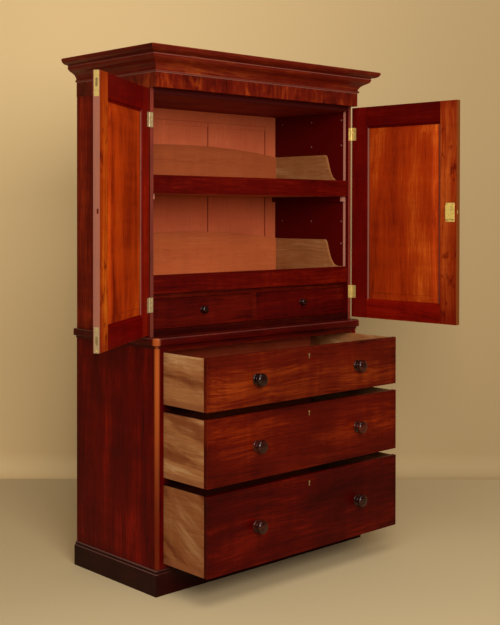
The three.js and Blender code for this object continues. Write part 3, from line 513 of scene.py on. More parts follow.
def grained(tree, vector, axis, seed, tones, figure, streaks, pores):
    """Wood grain along one axis of the board's own space, in a light, a middle and a dark tone."""
    start = (seed * 3.17, seed * 1.31, seed * 2.23)
    turned = add(tree, "ShaderNodeMapping", {"Vector": vector, "Location": start, "Rotation": TURNS[axis]})
    light, middle, dark = tones
    return use_group(tree, "grain", {
        "Vector": turned.outputs[0], "Light": light, "Middle": middle, "Dark": dark,
        "Figure": figure, "Streaks": streaks, "Pores": pores,
    })


def door_space(tree, vector, place):
    """The leaf's own space, from its pin and its foot, for a door that stands at an angle."""
    if place is None:
        return vector
    mirrored = place.determinant() < 0
    swing, pin = (RIGHT_ANGLE, RIGHT_PIN) if mirrored else (LEFT_ANGLE, LEFT_PIN)
    start = tuple(-(Matrix.Rotation(-swing, 4, "Z") @ pin))
    moved = add(tree, "ShaderNodeMapping", {"Vector": vector, "Location": start, "Rotation": (0.0, 0.0, -swing)})
    if not mirrored:
        return moved.outputs[0]
    return add(tree, "ShaderNodeMapping", {"Vector": moved.outputs[0], "Scale": (-1.0, 1.0, 1.0)}).outputs[0]


def wood(name, tones, grain, low, high, seed, place=None, rails=None, rail_tint=(1, 1, 1), figure=0.6, streaks=0.6,
         pores=0.5, rough=0.35, gloss=0.3, age=0.5, rub=0.003, near=0.45, rubbed=0.3, tint=None, bump=0.12):
    """A board of one wood. tones are its light, middle and dark; low and high are the board's corners."""
    material, tree, shader, coordinates = blank_material(name)
    vector = door_space(tree, coordinates, place)
    shade, sheen, height = grained(tree, vector, grain, seed, tones, figure, streaks, pores)
    if rails:
        other = grained(tree, vector, "x", seed + 7.7, tones, figure, streaks, pores)
        parts = use_group(tree, "frame", {"Vector": vector, "Left": rails[0], "Right": rails[1]})
        shade = mixed(tree, parts["Rail"], shade, times(tree, other["Color"], rail_tint))
        shade = mixed(tree, product(tree, parts["Joint"], 0.6), shade, tones[2])
    aged = use_group(tree, "handling", {"Vector": vector, "Color": shade, "Strength": age})
    edges = use_group(tree, "edges", {"Vector": vector, "Low": low, "High": high, "Reach": rub})
    # Darker near the edges, as old polish and painted shade; lighter on the arrises, as wear and painted highlight.
    darker = times(tree, aged["Color"], (0.5, 0.36, 0.4))
    shade = mixed(tree, product(tree, edges["Near"], near), aged["Color"], darker)
    shade = mixed(tree, product(tree, edges["Rubbed"], rubbed), shade, tones[0])
    if tint:
        shade = tint(tree, vector, shade)
    rise = product(tree, maths(tree, "ADD", sheen, aged["Haze"]), 0.09)
    wire(tree, shader, {
        "Base Color": shade,
        "Roughness": maths(tree, "ADD", rise, rough - 0.06),
        "Normal": relief(tree, height, bump, 0.0006),
        "Coat Weight": gloss,
        "Coat Roughness": 0.16,
        "Specular IOR Level": 0.05,
    })
    return material


def brass_material(name, bright, dull, metallic=0.4):
    """Brass under a brown film. The less metallic it is, the greyer and flatter it looks."""
    material, tree, shader, coordinates = blank_material(name)
    aged = use_group(tree, "brass", {"Vector": coordinates, "Bright": bright, "Dull": dull})
    wire(tree, shader, {
        "Base Color": aged["Color"],
        "Roughness": aged["Rough"],
        "Normal": relief(tree, aged["Height"], 0.06, 0.0002),
        "Metallic": metallic,
    })
    return material


def knob_material(name):
    """Turned and polished knob wood with faint rings from the lathe."""
    given = bpy.context.scene.press_metal
    material, tree, shader, coordinates = blank_material(name)
    tones = (given.knob_glow, given.knob, (0.004, 0.002, 0.002))
    board = grained(tree, coordinates, "x", 4.0, tones, 0.7, 0.5, 0.3)
    aged = use_group(tree, "handling", {"Vector": coordinates, "Color": board["Color"], "Strength": 0.5})
    rings = stretched(tree, coordinates, (4.0, 900.0, 4.0), Scale=1.0, Detail=1.0)
    wire(tree, shader, {
        "Base Color": aged["Color"],
        "Roughness": maths(tree, "ADD", product(tree, aged["Haze"], 0.1), given.knob_polish),
        "Normal": relief(tree, rings, 0.05, 0.0003),
        "Specular IOR Level": 0.2,
        "Coat Weight": 0.2,
        "Coat Roughness": 0.06,
    })
    return material


def shaded_hole_material(name, deep=(0.006, 0.004, 0.003), dusty=(0.03, 0.018, 0.012)):
    """The inside of a keyhole or a peg hole: its dark colour is painted shade in the hole, with a little dust at
    its mouth.
    """
    material, tree, shader, coordinates = blank_material(name)
    dust = noise(tree, coordinates, Scale=900.0, Detail=2.0)
    wire(tree, shader, {"Base Color": mixed(tree, between(tree, dust, 0.5, 0.8), deep, dusty), "Roughness": 0.9})
    return material


# Meshes

def new_piece(name, mesh_data, material, smooth=None):
    """Turns bmesh data into an object with one material."""
    mesh = bpy.data.meshes.new(name)
    mesh_data.normal_update()
    bmesh.ops.recalc_face_normals(mesh_data, faces=mesh_data.faces)
    mesh_data.to_mesh(mesh)
    mesh_data.free()
    mesh.materials.append(material)
    piece = bpy.data.objects.new(name, mesh)
    bpy.context.scene.collection.objects.link(piece)
    if smooth is not None:
        for face in mesh.polygons:
            face.use_smooth = True
        mesh.set_sharp_from_angle(angle=smooth)
    return piece


def turned_form(profile, steps, place):
    """A lathe form about the local Z axis, put in its place. The profile holds radius and height pairs."""
    data = bmesh.new()
    rings = []
    for radius, height in profile:
        spots = [(0, 0)]
        if radius > 1e-6:
            turns = [2 * math.pi * i / steps for i in range(steps)]
            spots = [(radius * math.cos(turn), radius * math.sin(turn)) for turn in turns]
        rings.append([data.verts.new((x, y, height)) for x, y in spots])
    for first, second in zip(rings, rings[1:]):
        for i in range(steps):
            corner = [first[i % len(first)], first[(i + 1) % len(first)]]
            corner += [second[(i + 1) % len(second)], second[i % len(second)]]
            face = list(dict.fromkeys(corner))
            if len(face) > 2:
                data.faces.new(face)
    bmesh.ops.transform(data, matrix=place, verts=data.verts)
    return data


def join_rings(data, first, second):
    """Closes the band between two rings of as many points."""
    for i in range(len(first)):
        after = (i + 1) % len(first)
        data.faces.new((first[i], first[after], second[after], second[i]))


def swept_form(profile, path):
    """Sweeps a closed outline along mitred corners. Each place on the path puts the outline's points in place."""
    data = bmesh.new()
    rings = [[data.verts.new(place(point)) for point in profile] for place in path]
    for first, second in zip(rings, rings[1:]):
        join_rings(data, first, second)
    data.faces.new(rings[0])
    data.faces.new(list(reversed(rings[-1])))
    return data


def arc(centre, radius, start, end, steps):
    """Points on a circle from one angle to another, in degrees, the first one left out."""
    points = []
    for i in range(1, steps + 1):
        angle = math.radians(start + (end - start) * i / steps)
        points.append((centre[0] + radius * math.cos(angle), centre[1] + radius * math.sin(angle)))
    return points


def easing():
    """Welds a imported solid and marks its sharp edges, so that its arrises can be rounded."""
    name = "welded_arrises"
    if name in bpy.data.node_groups:
        return bpy.data.node_groups[name]
    tree = bpy.data.node_groups.new(name, "GeometryNodeTree")
    for way in ("INPUT", "OUTPUT"):
        tree.interface.new_socket("Geometry", in_out=way, socket_type="NodeSocketGeometry")
    given = tree.nodes.new("NodeGroupInput")
    bare = add(tree, "GeometryNodeRemoveAttribute", {"Geometry": given.outputs[0], "Name": "custom_normal"})
    weld = add(tree, "GeometryNodeMergeByDistance", {"Geometry": bare.outputs["Geometry"], "Distance": 1e-5})
    faces = add(tree, "GeometryNodeSetShadeSmooth", {"Geometry": weld.outputs["Geometry"]}, domain="FACE")
    angle = add(tree, "GeometryNodeInputMeshEdgeAngle")
    sharp = add(tree, "FunctionNodeCompare", {0: angle.outputs["Unsigned Angle"], 1: SHARP_ANGLE},
                operation="GREATER_THAN")
    edges = add(tree, "GeometryNodeSetShadeSmooth", {
        "Geometry": faces.outputs["Geometry"], "Selection": sharp.outputs[0], "Shade Smooth": False,
    }, domain="EDGE")
    add(tree, "NodeGroupOutput", {0: edges.outputs["Geometry"]})
    return tree


def finish_board(node, material, arris=0.0009):
    """Gives a solid its finish and rounds its arrises a little, so that they catch the light."""
    body = frame["nodes"][node]
    for slot in body.material_slots:
        slot.material = material
    weld = body.modifiers.new("weld", "NODES")
    weld.node_group = easing()
    flats = body.modifiers.new("flats", "DECIMATE")
    flats.decimate_type = "DISSOLVE"
    flats.angle_limit = math.radians(0.5)
    round_off = body.modifiers.new("arris", "BEVEL")
    round_off.width = arris
    round_off.segments = 2
    round_off.limit_method = "ANGLE"
    round_off.angle_limit = SHARP_ANGLE
    round_off.harden_normals = True


def door_corners(node, place):
    """A door node's lowest and highest corners in the leaf's own space."""
    inverse = place.inverted()
    points = [inverse @ corner.co for corner in frame["nodes"][node].data.vertices]
    return [Vector(pick(p[i] for p in points) for i in range(3)) for pick in (min, max)]


# Finishes

def shine_of(settings, more=0.0):
    """How rough and how glossy a polished finish is."""
    return {"rough": settings.polish, "gloss": settings.gloss + more}


def dry_look(lining, smoother=0.0):
    """How rough an unpolished wood is."""
    return {"rough": lining.dryness - smoother, "gloss": 0.0, "bump": 0.2}


def tones_of(settings, prefix=""):
    """A finish's light, middle and dark tones."""
    return tuple(tuple(getattr(settings, prefix + tone)) for tone in ("light", "middle", "dark"))


def dulled(tones, factor):
    """The same tones, each darkened by a factor for red, green and blue."""
    return tuple(tuple(value * part for value, part in zip(tone, factor)) for tone in tones)


# How far each part's usual tones are darkened or lightened, for red, green and blue: partly the part's own tone,
# partly painted light and shade
TONE_AND_SHADE = {
    # The base sides darker and the upper sides lighter: painted light from above.
    "base_side_left": (0.95, 0.2, 0.24),
    "base_side_right": (0.95, 0.2, 0.24),
    "upper_side_left": (1.45, 1.0, 0.8),
    "upper_side_right": (1.45, 1.0, 0.8),
    # Painted shade on the dividers, seen in the dark gaps between the drawers.
    "drawer_divider_lower": (0.4, 0.3, 0.4),
    "drawer_divider_upper": (0.4, 0.3, 0.4),
    "drawer_shelf": (0.8, 0.6, 0.7),
    "upper_back": (0.85, 0.76, 0.82),
    "upper_bottom": (0.35, 0.3, 0.35),
    # Painted shade on the cupboard's top board, over the trays.
    "upper_top": (0.3, 0.12, 0.2),
    "plinth_frame": (0.18, 0.12, 0.18),
    "waist_moulding": (0.8, 0.48, 0.7),
    # The cornice lengths paler, most in green and blue: a painted sheen.
    "cornice_front": (1.4, 2.2, 2.6),
    "cornice_left": (1.2, 1.2, 1.5),
    "cornice_right": (1.2, 1.2, 1.5),
    "frieze": (1.1, 1.2, 0.9),
    "left_door_frame": (1.12, 1.3, 0.85),
    "left_door_panel": (1.22, 1.36, 0.95),
    "right_door_frame": (0.81, 0.75, 1.0),
    "long_drawer_top_front": (1.0, 1.2, 0.9),
    "long_drawer_middle_front": (0.87, 0.68, 0.45),
    "long_drawer_bottom_front": (0.54, 0.17, 0.22),
    "long_drawer_bottom_sides": (0.72, 0.6, 0.55),
    "small_drawer_left_front": (0.95, 0.7, 0.8),
    "small_drawer_right_front": (0.8, 0.4, 0.7),
    "upper_tray_front": (0.8, 0.33, 0.38),
    "lower_tray_front": (0.75, 0.3, 0.35),
    "upper_tray_body": (0.52, 0.5, 0.42),
    "lower_tray_body": (0.68, 0.66, 0.56),
}


def part_tones(part, tones):
    """The tones of one part."""
    return dulled(tones, TONE_AND_SHADE.get(part, (1.0, 1.0, 1.0)))


def finish_wood(node, tones, grain, seed, corners=None, **look):
    """Finishes one wooden solid by its box, or by its corners in a door's own space."""
    low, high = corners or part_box(node)
    finish_board(node, wood("wood_" + node, part_tones(node, tones), grain, low, high, seed, **look))


# Carcase

# The paler strip is a lipping with a painted highlight.
STRIP_DEPTHS = (0.018, 0.030)    # a paler strip inside the cupboard's sides, from their front edge
STRIP_HEIGHTS = (1.165, 1.93)


def side_tint(half, front, board, corner, lit_lipping, dark):
    """A carcase side: a painted highlight on its rounded front corner, deep red inside, and inside the cupboard a
    paler lipping strip and front edge with a painted highlight.
    """
    def tint(tree, vector, shade):
        across, deep, up = axes(tree, vector)
        out = maths(tree, "ABSOLUTE", across)
        # The rounded front corner gets a painted highlight, brighter higher up.
        if corner:
            beside = maths(tree, "SUBTRACT", out, half - CORNER_RADIUS)
            before = maths(tree, "SUBTRACT", front + CORNER_RADIUS, deep)
            worn = between(tree, maths(tree, "MINIMUM", beside, before), 0.001, 0.011)
            higher_highlight = between(tree, up, 0.2, 0.9, 0.12, 0.85)
            shade = mixed(tree, product(tree, worn, higher_highlight), shade, corner)
        inner = maths(tree, "LESS_THAN", out, half - board + 0.0005)
        shade = mixed(tree, inner, shade, mixed(tree, 0.75, times(tree, shade, dark), dark))
        # A paler lipping strip with a painted highlight, and a faint painted highlight on the front edge.
        if lit_lipping:
            near, far = (front + depth for depth in STRIP_DEPTHS)
            strip = product(tree, inner, within(tree, deep, near, far, 0.002))
            strip = product(tree, strip, within(tree, up, *STRIP_HEIGHTS, 0.001))
            edge = product(tree, maths(tree, "LESS_THAN", deep, front + 0.0006), 0.1)
            shade = mixed(tree, maths(tree, "MAXIMUM", product(tree, strip, 0.85), edge), shade, lit_lipping)
        return shade
    return tint


class PRESS_OT_finish_carcase(Operator):
    """Finish the boards of the base and the upper cupboard"""

    bl_idname = "press.finish_carcase"
    bl_label = "Finish carcase"

    def execute(self, context):
        polished = context.scene.press_mahogany
        lining = context.scene.press_lining
        red, warm, plain = tones_of(polished), tones_of(lining, "tray_"), tones_of(lining, "drawer_")
        shine, dry = shine_of(polished), dry_look(lining)
        dark = srgb(80, 4, 3)
        for seed, node in enumerate(("base_side_left", "base_side_right", "upper_side_left", "upper_side_right")):
            low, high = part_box(node)
            half = max(-low.x, high.x)
            tint = side_tint(half, low.y, CUPBOARD_SIDE, None, lining.lipping, dark)
            if "base" in node:
                tint = side_tint(half, low.y, high.x - low.x, polished.worn, None, dark)
            finish_wood(node, red, "z", 3.0 + seed, figure=0.8, age=0.75, near=0.3, rubbed=0.0, tint=tint, **shine)
        for seed, node in enumerate(("drawer_divider_lower", "drawer_divider_upper", "base_top", "upper_bottom")):
            finish_wood(node, red, "x", 11.0 + seed, age=0.6, **shine)
        finish_wood("drawer_shelf", red, "x", 17.0, **shine)
        quiet = {"near": 0.0, "rubbed": 0.0, **dry}
        # The cupboard's top board has its front edge painted dark, as painted shade under the frieze.
        tint = self.edged("upper_top", srgb(56, 10, 7))
        finish_wood("upper_top", warm, "x", 18.0, streaks=0.4, tint=tint, **quiet)
        finish_wood("upper_back", warm, "z", 19.0, figure=0.25, streaks=0.25, pores=0.2, age=0.35,
                    tint=self.panelled, **quiet)
        for seed, node in enumerate(("base_back", "base_bottom", "cornice_back_rail", "plinth_back_frame")):
            tint = self.edged(node, dulled(red, (0.6, 0.5, 0.6))[1]) if node == "base_bottom" else None
            finish_wood(node, plain, "x", 23.0 + seed, figure=0.4, tint=tint, **dry)
        return {"FINISHED"}

    def edged(self, node, tone):
        """A plain board's front edge in a dark mahogany tone, like the parts beside it, with painted shade under
        the frieze and under the bottom drawer.
        """
        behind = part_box(node)[0].y + 0.006

        def tint(tree, vector, shade):
            return mixed(tree, maths(tree, "LESS_THAN", axes(tree, vector)["Y"], behind), shade, tone)
        return tint

    def panelled(self, tree, vector, shade):
        """Joint lines round the three panels of the back, lighter on each panel's left and darker on its right, and
        the sunk panels darker.
        """
        low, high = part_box("upper_back")
        across, deep, up = axes(tree, vector)
        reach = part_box("upper_side_right")[1].x - CUPBOARD_SIDE - BACK_STILE
        foot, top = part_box("upper_bottom")[1].z + BACK_STILE, high.z - BACK_STILE
        tall = within(tree, up, foot, top, 0.001)
        width = (2 * reach - 2 * BACK_MUNTIN) / 3
        for number in range(3):
            left = number * (width + BACK_MUNTIN) - reach
            for edge, tone in ((left, (1.25, 1.3, 1.3)), (left + width, (0.35, 0.25, 0.25))):
                line = product(tree, within(tree, across, edge - 0.0012, edge + 0.0022, 0.0008), tall)
                shade = mixed(tree, product(tree, line, 0.75), shade, times(tree, shade, tone))
        sunk = maths(tree, "GREATER_THAN", deep, low.y + 0.008)
        shade = mixed(tree, sunk, shade, times(tree, shade, (0.42, 0.5, 0.55)))
        level = within(tree, up, top - 0.0012, top + 0.001, 0.0008)
        line = product(tree, level, within(tree, across, -reach, reach, 0.001))
        return mixed(tree, product(tree, line, 0.7), shade, times(tree, shade, (0.6, 0.5, 0.5)))


# Mouldings

def plinth_outline(face, height):
    """The plinth's section: how far out from the base's side, and how high."""
    thick, bead, fillet = 0.02, 0.005, 0.001
    rise = height - 0.017
    middle = rise + bead
    upper = height - bead
    step = face - bead
    return (
        [(face - thick, 0), (face - 0.001, 0), (face, 0.001), (face, rise)]
        + [(face - bead + x, rise + y) for x, y in arc((0, 0), bead, 0, 90, 8)]
        + [(step, middle), (step - fillet, upper)]
        + [(step - fillet - bead + 0.002 + x * 0.6, upper + y) for x, y in arc((0, 0), bead, 0, 90, 8)]
        + [(face - thick, height)]
    )


def at_side(sign, half, y):
    """Places a section's points on a side: out from it, at one depth."""
    return lambda p: Vector((sign * (half + p[0]), y(p) if callable(y) else y, p[1]))


def mitred_frame(section, half, front, back):
    """A moulding that runs up one side, across the front and back down the other side."""
    def at_front(p):
        return front - p[0]
    ends = ((-1, back), (-1, at_front), (1, at_front), (1, back))
    return swept_form(section, [at_side(side, half, y) for side, y in ends])


def waist_outline(top, bottom, nose):
    """The waist board's section: a necking strip under a board with rounded edges."""
    wide, neck, under, over = 0.048, 0.0035, 0.005, 0.007
    lip = bottom - 0.006
    foot = lip - 0.01
    return (
        [(-wide, bottom), (0.0003, bottom), (0.0003, foot), (neck - 0.0006, foot)]
        + [(neck, foot + 0.0006), (neck, lip), (nose - under, lip)]
        + arc((nose - under, lip + under), under, -90, 0, 6)
        + [(nose, top - over)]
        + arc((nose - over, top - over), over, 0, 90, 8)
        + [(-wide, top)]
    )


def add_slab(data, near, far, heights):
    """Adds a flat slab from its near left and far right corners seen from above and its two heights."""
    plan = ((near[0], near[1]), (far[0], near[1]), (far[0], far[1]), (near[0], far[1]))
    low, high = ([data.verts.new((x, y, z)) for x, y in plan] for z in heights)
    data.faces.new(list(reversed(low)))
    data.faces.new(high)
    join_rings(data, low, high)


def waist_form(section, half, front, back, radius, steps):
    """The waist moulding, swept round the base's rounded front corners."""
    centre_x = half - radius
    centre_y = front + radius

    def at_corner(sign, angle):
        def place(p):
            out = max(radius + p[0], 0)
            inward = max(-p[0] - radius, 0)
            return Vector((sign * (centre_x - inward + out * math.cos(angle)),
                           centre_y + inward - out * math.sin(angle), p[1]))
        return place

    turns = [i / steps * math.pi / 2 for i in range(steps + 1)]
    path = [at_side(-1, half, back)] + [at_corner(-1, turn) for turn in turns]
    path += [at_corner(1, turn) for turn in reversed(turns)] + [at_side(1, half, back)]
    return swept_form(section, path)


def smoothed(points):
    """A smooth line through the points, from the first to the last."""
    steps = 4
    line = [points[0]]
    ends = [points[0]] + list(points) + [points[-1]]
    for before, start, stop, after in zip(ends, ends[1:], ends[2:], ends[3:]):
        for i in range(1, steps + 1):
            t = i / steps
            line.append(tuple(
                0.5 * (2 * b + (c - a) * t + (2 * a - 5 * b + 4 * c - d) * t * t + (3 * b - a - 3 * c + d) * t ** 3)
                for a, b, c, d in zip(before, start, stop, after)
            ))
    return line


# The crown moulding in shares of its reach and its height: a bead, a cove, a torus and an ovolo
CROWN_CURVES = (
    ((0.05, 0.0), (0.07, 0.02), (0.085, 0.055), (0.07, 0.09), (0.02, 0.115)),
    ((0.02, 0.14), (0.04, 0.19), (0.09, 0.26), (0.15, 0.315), (0.24, 0.37), (0.36, 0.425), (0.46, 0.465)),
    ((0.5, 0.49), (0.55, 0.53), (0.58, 0.58), (0.59, 0.64), (0.575, 0.69)),
    ((0.6, 0.715), (0.7, 0.725), (0.8, 0.745), (0.89, 0.785), (0.955, 0.835), (0.985, 0.88), (1.0, 0.92)),
)


def crown_outline(bottom, crown, top, reach, thick):
    """The cornice's section: a flat frieze under the crown moulding, whose fascia is eased at the top."""
    rise = top - crown
    curves = [(out * reach, crown + up * rise) for curve in CROWN_CURVES for out, up in smoothed(curve)]
    return (
        [(-thick, bottom), (-0.0006, bottom), (0, bottom + 0.0006), (0, crown)]
        + curves
        + [(reach, top - 0.003), (reach - 0.0009, top - 0.0009), (reach - 0.003, top), (-thick, top)]
    )


def frieze_tint(crown, tones, pale):
    """Gives a cornice length a cross-banded frieze under its long-grained moulding, with thin painted highlight
    lines.
    """
    # Painted highlight lines along the crown moulding.
    lines = ((crown - 0.0008, 0.7), (crown + 0.0035, 0.2), (crown + 0.0615, 0.5))

    def tint(tree, vector, shade):
        up = axes(tree, vector)["Z"]
        cross = grained(tree, vector, "z", 31.0, tones, 0.6, 0.5, 0.4)
        flame = stretched(tree, vector, (17.0, 17.0, 9.0), Scale=1.0, Detail=4.0, Roughness=0.6, Distortion=0.8)
        glow = mixed(tree, between(tree, flame, 0.5, 0.78, 0.0, 0.8), cross["Color"], tones[0])
        deep = mixed(tree, between(tree, flame, 0.24, 0.52, 0.8, 0.0), glow, tones[2])
        shade = mixed(tree, maths(tree, "LESS_THAN", up, crown), shade, deep)
        for height, strength in lines:
            line = between(tree, distance(tree, up, height), 0.0006, 0.0018, strength, 0.0)
            shade = mixed(tree, line, shade, pale)
        return shade
    return tint


class PRESS_OT_fit_mouldings(Operator):
    """Fit the plinth, the waist moulding and the three lengths of the cornice"""

    bl_idname = "press.fit_mouldings"
    bl_label = "Fit mouldings"

    def execute(self, context):
        polished = context.scene.press_mahogany
        red = tones_of(polished)
        shine = shine_of(polished, 0.12)
        soft = math.radians(38)
        half = span("base_top", 0) / 2 + BASE_SIDE
        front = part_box("base_side_left")[0].y

        low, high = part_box("plinth_frame")
        material = wood(
            "wood_plinth", part_tones("plinth_frame", red), "x", low, high, 41.0, figure=0.4, age=0.6, near=0.0,
            rubbed=0.0, tint=self.bead_highlights(high.z, half, polished.bead), **shine,
        )
        form = mitred_frame(plinth_outline(high.x - half, high.z), half, front, high.y)
        self.fit(new_piece("plinth_moulding", form, material, soft), "plinth_frame")

        low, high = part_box("waist_moulding")
        material = wood(
            "wood_waist", part_tones("waist_moulding", red), "x", low, high, 43.0, age=0.6, rub=0.004,
            tint=self.highlit_nose(high.z, half, front, polished), **shine,
        )
        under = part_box("base_top")[1].z
        inset = 0.046
        form = waist_form(waist_outline(high.z, under, high.x - half), half, front, high.y, CORNER_RADIUS, 14)
        add_slab(form, (inset - half, front + inset + 0.001), (half - inset, high.y), (under, high.z - 0.0001))
        self.fit(new_piece("waist_board", form, material, soft), "waist_moulding")

        low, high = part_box("cornice_front")
        crown = low.z + FRIEZE_HEIGHT
        frieze_half = span("cornice_back_rail", 0) / 2 + FRIEZE_THICKNESS
        reach = high.x - frieze_half
        frieze_front = low.y + reach
        section = crown_outline(low.z, crown, high.z, reach, FRIEZE_THICKNESS)
        tint = frieze_tint(crown, part_tones("frieze", red), polished.bead)

        def at_front(p):
            return frieze_front - p[0]

        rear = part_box("cornice_left")[1].y
        for name, grain, ends in (
            ("cornice_front", "x", ((-1, at_front), (1, at_front))),
            ("cornice_left", "y", ((-1, rear), (-1, at_front))),
            ("cornice_right", "y", ((1, rear), (1, at_front))),
        ):
            form = swept_form(section, [at_side(side, frieze_half, y) for side, y in ends])
            material = wood(
                "wood_" + name, part_tones(name, red), grain, *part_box(name), 47.0 + len(name), age=0.45, figure=0.5,
                tint=tint, **shine,
            )
            self.fit(new_piece(name + "_length", form, material, soft), name)
        return {"FINISHED"}

    def bead_highlights(self, top, half, pale):
        """Painted highlight lines along the two beads on top of the plinth, fainter along the front."""
        def tint(tree, vector, shade):
            parts = axes(tree, vector)
            line = maths(tree, "MAXIMUM", within(tree, parts["Z"], top - 0.0135, top - 0.0122, 0.0008),
                         within(tree, parts["Z"], top - 0.0025, top + 0.001, 0.0008))
            beside = maths(tree, "GREATER_THAN", maths(tree, "ABSOLUTE", parts["X"]), half + 0.0001)
            strength = between(tree, beside, 0.0, 1.0, 0.1, 0.26)
            return mixed(tree, product(tree, line, strength), shade, pale)
        return tint

    def highlit_nose(self, top, half, front, polished):
        """Painted highlights on the front corners and a faint painted highlight line along the top edge of the
        waist moulding.
        """
        reach = 0.012

        def tint(tree, vector, shade):
            across, deep, up = axes(tree, vector)
            beside = maths(tree, "SUBTRACT", maths(tree, "ABSOLUTE", across), half - reach)
            before = maths(tree, "SUBTRACT", front + reach, deep)
            corner = between(tree, maths(tree, "MINIMUM", beside, before), 0.0, reach, 0.0, 0.75)
            shade = mixed(tree, corner, shade, polished.worn)
            line = product(tree, within(tree, up, top - 0.003, top - 0.0008, 0.001), 0.12)
            return mixed(tree, line, shade, polished.bead)
        return tint

    def fit(self, piece, node):
        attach(piece, "carcase")
        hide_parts(node)


# Doors

# How much lighter or darker the lower and the upper rail of each door are, and how dark the foot of its free stile
# is
RAIL_TONES = {
    "left": ((0.97, 0.32, 0.61), (0.83, 0.22, 0.3)),
    "right": ((2.16, 4.6, 2.0), (0.81, 0.84, 0.6)),
}
DARK_FOOT = {"left": 0.3, "right": 0.8}


class PRESS_OT_finish_doors(Operator):
    """Finish the two doors, warm inside and polished outside"""

    bl_idname = "press.finish_doors"
    bl_label = "Finish doors"

    def execute(self, context):
        inner = context.scene.press_door_wood
        warm = tones_of(inner)
        red = tones_of(context.scene.press_mahogany)
        shine = shine_of(inner)
        for side, place, seed in (("left", LEFT_PLACE, 53.0), ("right", RIGHT_PLACE, 61.0)):
            frame_node, panel_node = side + "_door_frame", side + "_door_panel"
            corners, opening = door_corners(frame_node, place), door_corners(panel_node, place)
            rails = (opening[0].x + PANEL_REACH - DOOR_MOULDING, opening[1].x - PANEL_REACH + DOOR_MOULDING)
            finish_wood(
                frame_node, warm, "z", seed, corners, place=place, rails=rails, rail_tint=inner.rail, figure=0.8,
                streaks=0.5, near=0.2, rubbed=0.1, tint=self.frame_tint(side, corners, rails, opening, red, inner),
                **shine,
            )
            finish_wood(
                panel_node, warm, "z", seed + 3.0, opening, place=place, figure=0.9, streaks=0.45, near=0.0,
                rubbed=0.0, tint=self.panel_tint(opening, red), **shine,
            )
        return {"FINISHED"}

    def polished_outside(self, tree, vector, shade, middle, red, rails=None):
        """The show face is as red as the rest of the outside, with the grain along its stiles, rails and panel."""
        parts = axes(tree, vector)
        faces = [grained(tree, vector, grain, 67.0, red, 0.8, 0.6, 0.35)["Color"]
                 for grain in ("zx" if rails else "z")]
        face = mixed(tree, within(tree, parts["X"], *rails, 0.0001), *faces) if rails else faces[0]
        return mixed(tree, maths(tree, "LESS_THAN", parts["Y"], middle), shade, face)

    def frame_tint(self, side, corners, rails, opening, red, inner):
        """Tells the stiles apart, with knots in the free one and a darker foot, makes the rails lighter or darker,
        keeps the outer face red, paints highlight lines along the panel mouldings, and colours the meeting edge: a
        pale lipping on the left door, painted shade on the right one.
        """
        low, high = corners
        middle = (low.y + high.y) / 2
        foot, head = opening[0].z + PANEL_REACH, opening[1].z - PANEL_REACH
        lower, upper = RAIL_TONES[side]
        # The left door's meeting edge is a pale lipping; the right door's is painted darker, as painted shade.
        lipping = inner.lipping if side == "left" else srgb(112, 60, 22)
        # Painted highlight lines along the mouldings round the panel, on the inner face.
        quirk_highlights = ((opening[0].x + PANEL_REACH - 0.004, 0.8), (opening[1].x - PANEL_REACH + 0.004, 0.45))

        def tint(tree, vector, shade):
            across, deep, up = axes(tree, vector)
            hinged = times(tree, shade, inner.hinged)
            knot = stretched(tree, vector, (26.0, 26.0, 13.0), Scale=1.0, Detail=3.0, Roughness=0.6)
            free = times(tree, shade, inner.free)
            free = mixed(tree, between(tree, knot, 0.55, 0.68, 0.0, 0.85), free, srgb(84, 12, 3))
            low_down = between(tree, up, low.z, low.z + 0.16, DARK_FOOT[side], 0.0)
            free = mixed(tree, low_down, free, times(tree, free, (0.6, 0.15, 0.3)))
            for test, bound, fade in (("LESS_THAN", foot, lower), ("GREATER_THAN", head, upper)):
                rail = product(tree, maths(tree, test, up, bound), within(tree, across, *rails, 0.0001))
                shade = mixed(tree, rail, shade, times(tree, shade, fade))
            shade = mixed(tree, maths(tree, "LESS_THAN", across, rails[0]), shade, hinged)
            shade = mixed(tree, maths(tree, "GREATER_THAN", across, rails[1]), shade, free)
            shade = self.polished_outside(tree, vector, shade, middle - 0.001, red, rails)
            framed = within(tree, up, foot, head, 0.001)
            framed = product(tree, framed, maths(tree, "GREATER_THAN", deep, middle))
            for place, strength in quirk_highlights:
                line = product(tree, within(tree, across, place - 0.003, place + 0.003, 0.001), framed)
                shade = mixed(tree, product(tree, line, strength), shade, inner.lipping)
            edge = product(tree, maths(tree, "GREATER_THAN", across, high.x - 0.0007), 0.85)
            return mixed(tree, edge, shade, lipping)
        return tint

    def panel_tint(self, opening, red):
        """Keeps the panel's show face red and paints a highlight on the fielded edge on the free side."""
        edge = opening[1].x - PANEL_REACH

        def tint(tree, vector, shade):
            across = axes(tree, vector)["X"]
            band = product(tree, within(tree, across, edge - 0.027, edge - 0.008, 0.003), 0.45)
            lit = mixed(tree, band, shade, times(tree, shade, (1.7, 2.2, 2.4)))
            return self.polished_outside(tree, vector, lit, opening[0].y + 0.002, red)
        return tint


# Drawers and trays

